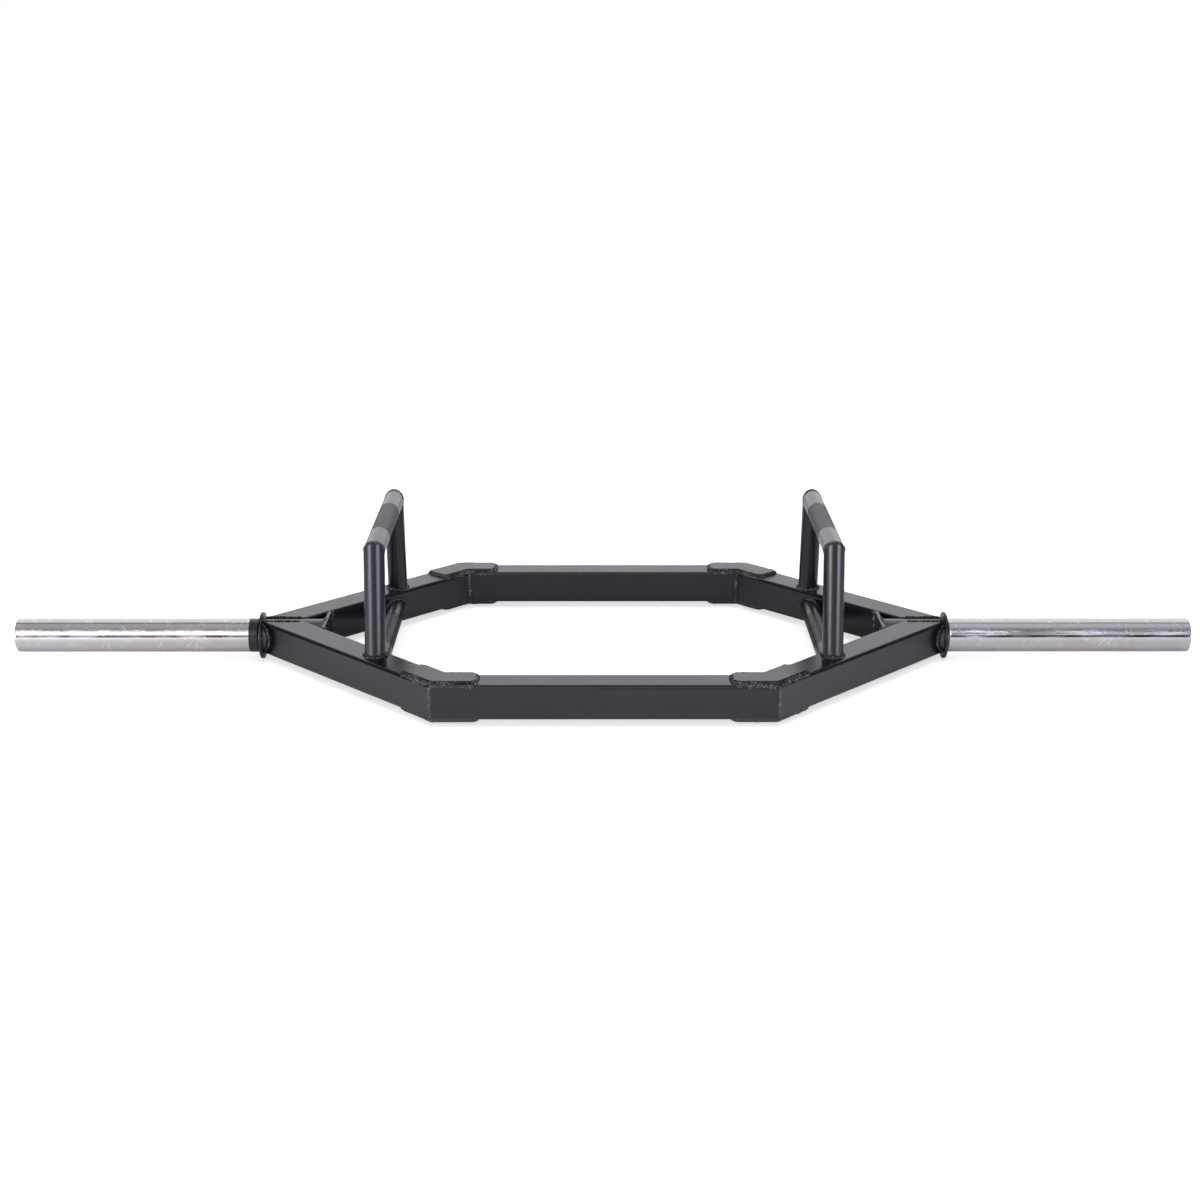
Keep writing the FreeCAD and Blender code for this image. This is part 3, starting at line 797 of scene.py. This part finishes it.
def grip_surface(radius, end_at, grips):
    """A grip along Y about its own axis: smooth ends, a groove, and diamond knurling between.

    end_at gives |Y| of the grip's cut end for each angle round it, where the angle is measured
    from +X towards +Z.  The radius is a function of the place along the grip and of that angle.
    """
    columns = grips.diamonds_round * 4
    turn = circle(columns)
    half = grips.knurl_length / 2
    rows_half = int(round(half / grips.diamond_length * 4))
    knurl_y = np.arange(-rows_half, rows_half + 1) * (half / rows_half)
    fade_length = 0.0006
    lip = 0.0004
    smooth_start = 0.0012
    fade = np.clip((half - np.abs(knurl_y)) / fade_length, 0, 1)
    place = np.arange(len(knurl_y))[:, None]
    cut = 1 - knurl_height(place, np.arange(columns)[None])
    knurl_radius = radius - grips.knurl_depth * cut * fade[:, None]
    knurl_grid_y = np.broadcast_to(knurl_y[:, None], knurl_radius.shape)
    # The groove is a squared sine deep; past its lip, the smooth end runs out to the cut
    share = np.linspace(0, 1, 9)[1:]
    groove_end = half + grips.groove_width
    groove_radius = radius - grips.groove_depth * np.sin(np.pi * share) ** 2
    groove_y = np.append(half + grips.groove_width * share, groove_end + lip)
    start = groove_end + smooth_start
    smooth_y = start + (end_at(turn)[None] - start) * np.linspace(0, 1, 8)[:, None]
    outer_y = np.concatenate([np.broadcast_to(groove_y[:, None], (len(groove_y), columns)), smooth_y])
    outer_radius = np.append(groove_radius, np.full(1 + len(smooth_y), radius))
    outer_radius = np.broadcast_to(outer_radius[:, None], outer_y.shape)
    along = np.concatenate([-outer_y[::-1], knurl_grid_y, outer_y])
    reach = np.concatenate([outer_radius[::-1], knurl_radius, outer_radius])
    grid = xyz(reach * np.cos(turn), along, reach * np.sin(turn))
    index = np.arange(grid.shape[0] * columns).reshape(-1, columns)
    first = len(outer_y)
    last = first + len(knurl_y) - 1
    quads = np.concatenate([ring_quads(index[:first + 1], False), ring_quads(index[last:], False)])
    extra, fans = end_fans(grid, index)
    triangles = np.concatenate([diamond_triangles(index[first:last + 1]), fans])
    return np.concatenate([grid.reshape(-1, 3), extra]), [quads, triangles]


def diamond_triangles(index):
    """Two triangles to each square of a grid, cut along the grooves' and ridges' own way."""
    a = index[:-1]
    b = np.roll(a, -1, axis=1)
    d = index[1:]
    c = np.roll(d, -1, axis=1)
    row, column = np.indices(a.shape)
    even = ((row + column) % 2 == 0)[..., None]
    first = np.where(even, np.stack([a, b, c], axis=-1), np.stack([a, b, d], axis=-1))
    second = np.where(even, np.stack([a, c, d], axis=-1), np.stack([b, c, d], axis=-1))
    return np.concatenate([first.reshape(-1, 3), second.reshape(-1, 3)])


class TRAPBAR_OT_grips(bpy.types.Operator):
    """Raised and lower grips with knurled middles"""
    bl_idname = "trapbar.grips"
    bl_label = "Knurled grips"

    def execute(self, context):
        grips = context.scene.trap_bar.grips
        sizes = context.scene.trap_bar.frame
        mitre = math.tan(math.pi / 4 + grips.post_lean / 2)
        raised_base = (GRIP_SPACING_HALF, 0, grips.raised_height)
        lower_base = (GRIP_SPACING_HALF, 0, AXIS_HEIGHT)

        def raised_end(turn):
            return grips.raised_half_length + grips.raised_radius * np.sin(turn) / mitre

        inner_face = sizes.rail_offset - sizes.tube_side / 2 / math.cos(sizes.arm_angle)
        slope = math.tan(sizes.arm_angle)
        lower_half = inner_face - (GRIP_SPACING_HALF - sizes.corner_half_spacing) * slope
        for side, side_x in SIDES:
            def lower_end(turn):
                return lower_half - side_x * grips.lower_radius * np.cos(turn) * slope

            for level, radius, end_at, base, finish in (
                ("raised", grips.raised_radius, raised_end, raised_base, "grip_coat"),
                ("lower", grips.lower_radius, lower_end, lower_base, "lower_grip_coat"),
            ):
                points, faces = grip_surface(radius, end_at, grips)
                node = f"{side}_{level}_grip"
                placed = points + np.array(base) * (side_x, 1, 1)
                make_piece(f"{node}_knurled", (placed, faces), finish, (node,))
        return {"FINISHED"}


class TRAPBAR_OT_sleeves(bpy.types.Operator):
    """Plated sleeves, their plugs and the collars"""
    bl_idname = "trapbar.sleeves"
    bl_label = "Sleeves and collars"

    def execute(self, context):
        sizes = context.scene.trap_bar.sleeves
        crotch = context.scene.trap_bar.frame.crotch_face
        end = float(node_high("right_sleeve")[0])
        bore = sizes.radius - sizes.wall
        shoulder = sizes.collar_face + sizes.collar_thickness
        rounding = sizes.end_rounding
        quarter = np.linspace(0, np.pi / 2, 9)
        outer_edge = xyz(
            end - rounding + rounding * np.sin(quarter),
            sizes.radius - rounding + rounding * np.cos(quarter),
        )
        lip = 0.0004
        barrel = xyz(np.linspace(shoulder, end - rounding, 60)[:-1], sizes.radius)
        profile = np.concatenate([
            [(shoulder, bore)],
            barrel,
            outer_edge,
            [(end, bore + lip), (end - lip, bore)],
        ])
        spigot = np.array([
            (crotch, bore), (crotch, sizes.spigot_radius), (shoulder, sizes.spigot_radius), (shoulder, bore),
        ])
        face = end - sizes.plug_recess
        back = face - sizes.plug_thickness
        dome = np.linspace(0, 1, 10)
        plug = np.concatenate([
            [(back, bore * 0.02), (back, bore), (face - lip, bore)],
            xyz(face - lip * dome[::-1] ** 2, (bore - lip) * dome[::-1])[:-1],
        ])
        rim = 0.0018
        collar, _ = rounded_outline([
            (sizes.collar_face, sizes.spigot_radius),
            (shoulder, sizes.spigot_radius),
            (shoulder, sizes.collar_radius),
            (sizes.collar_face, sizes.collar_radius),
        ], rim, 9)
        collar[:, 1] = np.maximum(collar[:, 1], sizes.spigot_radius)
        turned = (
            ("sleeve_tube", turned_surface(profile, 192, True), "chrome", CHROME_SLOT, "sleeve"),
            ("sleeve_spigot", turned_surface(spigot, 128, True), "thin_coat", CHROME_SLOT, "sleeve"),
            ("sleeve_cap", turned_surface(plug, 128, False), "chrome", CHROME_SLOT, "sleeve_plug"),
            ("collar_ring", turned_surface(collar, 160, True), "powder_coat", PAINT_SLOT, "collar"),
        )
        for side, side_x in SIDES:
            for piece, (points, faces), finish, slot, node in turned:
                placed = points * (side_x, 1, 1) + (0, 0, AXIS_HEIGHT)
                make_skin(f"{side}_{piece}", (placed, faces), finish, f"{side}_{node}")
        return {"FINISHED"}


class TRAPBAR_OT_overspray(bpy.types.Operator):
    """The coat of paint that runs past the left collar to an uneven masked edge"""
    bl_idname = "trapbar.overspray"
    bl_label = "Paint on the left sleeve"

    def execute(self, context):
        sizes = context.scene.trap_bar.sleeves
        turn = circle(240)
        shoulder = sizes.collar_face + sizes.collar_thickness
        unevenness = 0.0005
        edge = sizes.overspray_length + unevenness * hand_wobble(turn, 2 * np.pi, 5, 9)
        coat = 0.00018
        # Out along the paint, over its raised masked edge, down into the sleeve and back underneath
        share = np.array([0.0, 0.3, 0.6, 0.85, 0.94, 0.97, 0.99, 1.0, 1.0, 0.0])
        thickness = np.array([1.0, 1.0, 1.0, 1.0, 1.4, 1.5, 1.2, 0.6, -1.0, -1.0]) * coat
        along = shoulder + share[:, None] * edge[None]
        radius = (sizes.radius + thickness)[:, None]
        grid = xyz(-along, radius * np.cos(turn), radius * np.sin(turn) + AXIS_HEIGHT)
        make_piece("left_sleeve_overspray", tube_surface(grid, True), "powder_coat")
        return {"FINISHED"}


class TRAPBAR_OT_gusset_welds(bpy.types.Operator):
    """A fillet bead round each corner plate"""
    bl_idname = "trapbar.gusset_welds"
    bl_label = "Corner plate welds"

    def execute(self, context):
        sizes = context.scene.trap_bar.frame
        sunk = 0.0003
        stand_off = 0.0016
        height = sizes.tube_side / 2 - sunk
        for end, side, side_x, side_y in CORNERS:
            outline, normals = rounded_outline(gusset_corners(sizes, side_x, side_y), PLATE_CORNER_RADIUS)
            for level, up in LEVELS:
                path = xyz(*(outline + normals * stand_off).T, AXIS_HEIGHT + up * height)
                outward = xyz(*normals.T, up * 0.8)
                finish = "weld_coat" if up > 0 else "full_weld_coat"
                add_bead(f"{end}_{side}_{level}_gusset_weld", path, outward, GUSSET_BEAD, True, finish)
        return {"FINISHED"}


class TRAPBAR_OT_corner_welds(bpy.types.Operator):
    """The beads down the mitres, outside and inside the hexagon"""
    bl_idname = "trapbar.corner_welds"
    bl_label = "Mitre welds"

    def execute(self, context):
        sizes = context.scene.trap_bar.frame
        section, way = tube_edge_path(sizes)
        half_angle = sizes.arm_angle / 2

        def mitre_path(side_x, side_y, sign):
            path = mitre_point(sizes, side_x, side_y, sign * section[:, 0], AXIS_HEIGHT + section[:, 1])
            outward = xyz(
                sign * side_x * math.sin(half_angle) * way[:, 0],
                sign * side_y * math.cos(half_angle) * way[:, 0],
                way[:, 1],
            )
            return path, outward

        for end, side, side_x, side_y in CORNERS:
            corner = f"{end}_{side}"
            path, outward = mitre_path(side_x, side_y, 1)
            bead = OUTER_CORNER_BEAD
            add_bead(f"{corner}_outer_corner_weld", path, outward, bead, finish="corner_weld_coat")
            # Where the corner plate's bead turns down over the tube's rounded edge
            for level, turn_over in (("top", slice(0, 11)), ("bottom", slice(-11, None))):
                add_bead(f"{corner}_{level}_corner_blob", path[turn_over], outward[turn_over], CORNER_BLOB)
            add_bead(f"{corner}_inner_corner_weld", *mitre_path(side_x, side_y, -1), INNER_CORNER_BEAD)
        return {"FINISHED"}


class TRAPBAR_OT_post_welds(bpy.types.Operator):
    """The beads at each post's foot and at its mitre with the raised grip"""
    bl_idname = "trapbar.post_welds"
    bl_label = "Post welds"

    def execute(self, context):
        grips = context.scene.trap_bar.grips
        turn = circle()
        across = np.cos(turn)
        up = np.sin(turn)
        mitre = math.tan(math.pi / 4 + grips.post_lean / 2)
        arm_top = AXIS_HEIGHT + context.scene.trap_bar.frame.tube_side / 2
        foot = grips.raised_radius + BEAD_LIFT
        foot_depth = 1 / math.cos(grips.post_lean)
        sunk = 0.0006
        seam = grips.raised_radius - sunk
        for end, side, side_x, side_y in CORNERS:
            x = side_x * GRIP_SPACING_HALF
            foot_y = side_y * grips.post_foot + up * foot_depth * foot
            path = xyz(x + across * foot, foot_y, arm_top + BEAD_LIFT)
            add_bead(f"{end}_{side}_post_foot_weld", path, xyz(across, up, 0.9), POST_FOOT_BEAD, True)

            seam_y = side_y * (grips.raised_half_length + seam * up / mitre)
            path = xyz(x + seam * across, seam_y, grips.raised_height + seam * up)
            add_bead(f"{end}_{side}_handle_weld", path, xyz(across, side_y * 0.5 * up, up), HANDLE_BEAD, True)
        return {"FINISHED"}


class TRAPBAR_OT_lower_grip_welds(bpy.types.Operator):
    """The beads round the ends of the lower grips"""
    bl_idname = "trapbar.lower_grip_welds"
    bl_label = "Lower grip welds"

    def execute(self, context):
        grips = context.scene.trap_bar.grips
        sizes = context.scene.trap_bar.frame
        turn = circle()
        radius = grips.lower_radius + BEAD_LIFT
        inner_face = sizes.rail_offset - sizes.tube_side / 2 / math.cos(sizes.arm_angle)
        slope = math.tan(sizes.arm_angle)
        x = GRIP_SPACING_HALF + radius * np.cos(turn)
        y = inner_face - (x - sizes.corner_half_spacing) * slope - BEAD_LIFT
        z = AXIS_HEIGHT + radius * np.sin(turn)
        # The beads face outwards from the grip and, less, away from the arm
        way_x = np.cos(turn) - 0.8 * math.sin(sizes.arm_angle)
        way_y = -0.8 * math.cos(sizes.arm_angle)
        for end, side, side_x, side_y in CORNERS:
            path = xyz(side_x * x, side_y * y, z)
            outward = xyz(side_x * way_x, side_y * way_y, np.sin(turn))
            add_bead(f"{end}_{side}_lower_grip_weld", path, outward, LOWER_GRIP_BEAD, True)
        return {"FINISHED"}


class TRAPBAR_OT_apex_welds(bpy.types.Operator):
    """The beads where the arms, the sleeve, the collar and the crotch plate meet"""
    bl_idname = "trapbar.apex_welds"
    bl_label = "Apex welds"

    def execute(self, context):
        sizes = context.scene.trap_bar.frame
        sleeves = context.scene.trap_bar.sleeves
        radius = sleeves.spigot_radius
        face = sleeves.collar_face
        angle = sizes.arm_angle
        half = sizes.tube_side / 2
        turn = circle()
        # The cope: where the arm's outer face runs into the round of the spigot
        cope_top = radius * 0.86
        cope_z = np.linspace(cope_top, -cope_top, BENT_PATH_POINTS)
        cope_y = np.sqrt(radius ** 2 - cope_z ** 2)
        cope_x = np.minimum(arm_outer_x(sizes, cope_y), face - 0.0005)
        # The crotch plate's upright edges
        inner_plate = sizes.crotch_face - sizes.crotch_thickness
        plate_half = (arm_outer_x(sizes, 0.0, -1) - inner_plate) * math.tan(angle)
        plate_z = AXIS_HEIGHT + np.linspace(half + 0.0012, 0.001 - half, STRAIGHT_PATH_POINTS)
        # The slot over the spigot, and the tacks between spigot and collar above and below
        slot_x = np.linspace(face - 0.002, arm_outer_x(sizes, 0.0, -1), STRAIGHT_PATH_POINTS)
        slot_y = sizes.apex_slot / 2 + 0.0004
        tack_lean = 0.62
        lean = np.linspace(-tack_lean, tack_lean, BENT_PATH_POINTS)
        tack = radius + 2 * BEAD_LIFT
        ring = radius + BEAD_LIFT
        for side, side_x in SIDES:
            for end, side_y in ENDS:
                path = xyz(side_x * cope_x, side_y * cope_y, AXIS_HEIGHT + cope_z)
                way_y = side_y * (math.cos(angle) + cope_y / radius)
                outward = xyz(side_x * math.sin(angle), way_y, cope_z / radius)
                add_bead(f"{end}_{side}_cope_weld", path, outward, COPE_BEAD)

                path = xyz(side_x * (inner_plate - 0.0002), side_y * (plate_half - 0.0006), plate_z)
                add_bead(f"{end}_{side}_crotch_weld", path, (-side_x, -side_y * 0.45, 0), CROTCH_BEAD)

                # The slot beads are painted shade: near-black lines for the shadow in the crevices beside the
                # spigot
                path = xyz(side_x * slot_x, side_y * slot_y, AXIS_HEIGHT + half - 0.0012)
                outward = (0, -side_y * 0.35, 1)
                add_bead(f"{end}_{side}_slot_weld", path, outward, SLOT_BEAD, finish="shade_seam_coat")
            for level, up in LEVELS:
                tack_z = AXIS_HEIGHT + up * tack * np.cos(lean)
                path = xyz(side_x * (face - 0.0004), tack * np.sin(lean), tack_z)
                outward = xyz(-side_x * 0.8, np.sin(lean), up * np.cos(lean))
                add_bead(f"{side}_{level}_collar_weld", path, outward, SPIGOT_BEAD)
            ring_x = side_x * (sizes.crotch_face + BEAD_LIFT)
            path = xyz(ring_x, ring * np.cos(turn), AXIS_HEIGHT + ring * np.sin(turn))
            outward = xyz(side_x * 0.9, np.cos(turn), np.sin(turn))
            add_bead(f"{side}_spigot_weld", path, outward, SPIGOT_BEAD, True)
        return {"FINISHED"}


# The studio

def studio_world(scene):
    """A pale studio: a light wall behind, a dimmer ceiling, and a long soft box in front.

    The light is a function of the direction alone: of its angle over the top, which is -90 degrees
    level behind, 0 straight up and 90 level in front, of how far it points to the right, and of
    the angle round the bar for the two strips.  Noise breaks up the bands' edges.
    """
    world = bpy.data.worlds.new("studio")
    scene.world = world
    world.use_nodes = True
    world.node_tree.nodes.clear()
    start = Wire(world.node_tree)
    way = start.node("ShaderNodeTexCoord", None, None, 0)
    x, y, z = (way.axis(number) for number in range(3))
    over = start.math("ARCTAN2", y * -1.0, z) * math.degrees(1)
    round_bar = start.math("ABSOLUTE", start.math("ARCTAN2", x, y * -1.0)) * math.degrees(1)
    right = x.span(-0.05, 0.1)

    def pattern(across, row, detail, roughness=0.5):
        """Noise that changes from left to right, and with the row if that changes."""
        return start.node("ShaderNodeCombineXYZ", None, {0: x * across, 1: row}).noise(1.0, detail, roughness)

    flecks = pattern(480.0, over * 0.055, 2.0, 0.6)
    flames = pattern(330.0, 5.0, 1.5, 0.6)
    breaks = pattern(140.0, 9.0, 3.0, 0.6)
    patches = pattern(44.0, 3.0, 1.0)

    # The wall behind, and above it the ceiling, which is darker near its front edge
    front_edge = over.span(8.0, 38.0) * (right * 0.26 + 0.15)
    ceiling = CEILING_LIGHT + right * 0.14 - front_edge + (flecks - 0.5) * 0.25
    cornice = over.band(-27.5, -24.5, -15.0, -8.0)
    light = WALL_LIGHT + over.span(-27.5, -25.5) * (ceiling - WALL_LIGHT) - cornice * CORNICE_SHADE
    # The soft box: even on the left and flecked on the right, with ragged edges and a broken frame
    box = BOX_LIGHT + right * (flecks.span(0.42, 0.58) * (patches.span(0.36, 0.64) * 1.6 + 0.6) - 1.9)
    box_edge = (over + (flames - 0.5) * 90.0 + (flecks - 0.5) * 30.0).span(42.0, 47.0)
    light = light.towards(box_edge, box)
    box_frame = over.band(71.5, 74.0, 89.0, 91.0) * (breaks.span(0.42, 0.52) * 0.85 + 0.15)
    light = light.towards(box_frame, BOX_FRAME_LIGHT)
    # The dim sides of the studio, and a low lit strip in front on each side
    light = light.towards(start.math("ABSOLUTE", x).span(0.36, 0.56), SIDE_LIGHT)
    strips = round_bar.band(26.0, 36.0, 58.0, 68.0) * (1 - z.span(0.1, 0.24))
    light = light.towards(strips, STRIP_LIGHT)
    # Cooler in the right of the box, and plain white to the camera
    tint = (box_edge * right).blend((1.0, 0.98, 1.01, 1), (0.84, 0.9, 1.02, 1))
    seen = start.node("ShaderNodeLightPath", None, None, 0)
    colour = seen.blend(tint, (1.0, 1.0, 1.0, 1))
    glow = start.node("ShaderNodeBackground", None, {"Color": colour, "Strength": seen + (1 - seen) * light})
    start.node("ShaderNodeOutputWorld", None, {"Surface": glow})


def pale_floor():
    """A white floor that keeps the shadow.

    It glows a little for the camera, which clips it to white.  Mirror rays see it glow in front of
    the bar only, more on the left, as under a soft box that stands there.
    """
    reach = 6.0
    corners = ((-reach, -reach, 0.0), (reach, -reach, 0.0), (reach, reach, 0.0), (-reach, reach, 0.0))
    mesh = bpy.data.meshes.new("studio_floor")
    mesh.from_pydata(corners, [], [(0, 1, 2, 3)])
    floor = bpy.data.objects.new("studio_floor", mesh)
    bpy.context.scene.collection.objects.link(floor)
    material, start, place = start_material("pale_floor")
    seen = start.node("ShaderNodeLightPath", None, None, 0)
    mirrored = start.node("ShaderNodeLightPath", None, None, 3)
    forward = place.axis(1) * -1.0
    leftward = place.axis(0) * -1.0
    box_glow = forward.span(-0.06, 0.32, False) * (leftward.span(0.4, 0.9) * 0.6 + 0.4)
    paper = start.node("ShaderNodeBsdfDiffuse", None, {"Color": FLOOR_COLOUR})
    glow = start.node("ShaderNodeEmission", None, {"Strength": seen * FLOOR_GLOW + mirrored * box_glow})
    both = start.node("ShaderNodeAddShader", None, {0: paper, 1: glow})
    start.node("ShaderNodeOutputMaterial", None, {"Surface": both})
    mesh.materials.append(material)


def soft_light(name, place, aim, width, depth, power):
    """A rectangular lamp that faces a point and shows neither to the camera nor in mirrors."""
    data = bpy.data.lights.new(name, "AREA")
    data.shape = "RECTANGLE"
    data.size = width
    data.size_y = depth
    data.energy = power
    lamp = bpy.data.objects.new(name, data)
    bpy.context.scene.collection.objects.link(lamp)
    lamp.matrix_world = facing(np.array(place), np.array(aim), np.array([0.0, 1.0, 0.0]))
    lamp.visible_camera = False
    lamp.visible_glossy = False


def facing(place, aim, upward):
    """A matrix at a place whose -Z looks at a point, with Y as near to upward as it can be."""
    back = place - aim
    back = back / np.linalg.norm(back)
    right = np.cross(upward, back)
    right = right / np.linalg.norm(right)
    up = np.cross(back, right)
    rows = np.eye(4)
    rows[:3, 0] = right
    rows[:3, 1] = up
    rows[:3, 2] = back
    rows[:3, 3] = place
    return Matrix(rows.tolist())


def photo_camera(scene, studio):
    """The camera, on a circle about the bar: turned, raised, then rolled about its own line."""
    data = bpy.data.cameras.new("photo_camera")
    data.lens = studio.lens
    data.sensor_width = 36.0
    data.clip_end = 100.0
    camera = bpy.data.objects.new("photo_camera", data)
    scene.collection.objects.link(camera)
    cos_yaw = math.cos(studio.yaw)
    sin_yaw = math.sin(studio.yaw)
    turn = np.array([(cos_yaw, -sin_yaw, 0), (sin_yaw, cos_yaw, 0), (0, 0, 1)])
    back = np.array([0, -math.cos(studio.pitch), math.sin(studio.pitch)])
    target = turn @ np.array(studio.target)
    place = target + studio.distance * (turn @ back)
    level_up = turn @ np.array([0, math.sin(studio.pitch), math.cos(studio.pitch)])
    level_right = turn @ np.array([1.0, 0, 0])
    upward = level_up * math.cos(studio.roll) - level_right * math.sin(studio.roll)
    camera.matrix_world = facing(place, target, upward)
    scene.camera = camera


class TRAPBAR_OT_studio(bpy.types.Operator):
    """Camera, floor, world and lamp"""
    bl_idname = "trapbar.studio"
    bl_label = "Studio"

    def execute(self, context):
        scene = context.scene
        scene.view_settings.view_transform = "Standard"
        photo_camera(scene, scene.trap_bar.studio)
        pale_floor()
        studio_world(scene)
        soft_light("overhead", (0.0, -0.2, 2.2), (0.0, 0.0, 0.0), width=2.4, depth=1.6, power=17.5)
        return {"FINISHED"}


OPERATORS = (
    TRAPBAR_OT_finishes,
    TRAPBAR_OT_gussets,
    TRAPBAR_OT_crotch_plates,
    TRAPBAR_OT_grips,
    TRAPBAR_OT_sleeves,
    TRAPBAR_OT_overspray,
    TRAPBAR_OT_gusset_welds,
    TRAPBAR_OT_corner_welds,
    TRAPBAR_OT_post_welds,
    TRAPBAR_OT_lower_grip_welds,
    TRAPBAR_OT_apex_welds,
    TRAPBAR_OT_studio,
)


class TRAPBAR_PT_panel(bpy.types.Panel):
    """Sizes, finishes and the buttons that make each group of pieces"""
    bl_idname = "TRAPBAR_PT_panel"
    bl_label = "Hex trap bar"
    bl_space_type = "VIEW_3D"
    bl_region_type = "UI"
    bl_category = "Trap Bar"

    def draw(self, context):
        settings = context.scene.trap_bar
        for group_name in ("frame", "grips", "sleeves", "welds", "finishes", "studio"):
            group = getattr(settings, group_name)
            box = self.layout.box()
            box.label(text=group_name.capitalize())
            for key in group.__annotations__:
                box.prop(group, key)
        for operator in OPERATORS:
            self.layout.operator(operator.bl_idname)


GROUPS = (FrameSizes, GripSizes, SleeveSizes, WeldSizes, Finishes, Studio, TrapBar)
CLASSES = (*GROUPS, *OPERATORS, TRAPBAR_PT_panel)


def register():
    for item in CLASSES:
        bpy.utils.register_class(item)
    bpy.types.Scene.trap_bar = bpy.props.PointerProperty(type=TrapBar)


def unregister():
    del bpy.types.Scene.trap_bar
    for item in reversed(CLASSES):
        bpy.utils.unregister_class(item)


def main():
    register()
    bpy.ops.trapbar.finishes()
    bpy.ops.trapbar.gussets()
    bpy.ops.trapbar.crotch_plates()
    bpy.ops.trapbar.grips()
    bpy.ops.trapbar.sleeves()
    bpy.ops.trapbar.overspray()
    bpy.ops.trapbar.gusset_welds()
    bpy.ops.trapbar.corner_welds()
    bpy.ops.trapbar.post_welds()
    bpy.ops.trapbar.lower_grip_welds()
    bpy.ops.trapbar.apex_welds()
    bpy.ops.trapbar.studio()


if __name__ == "__main__":
    main()
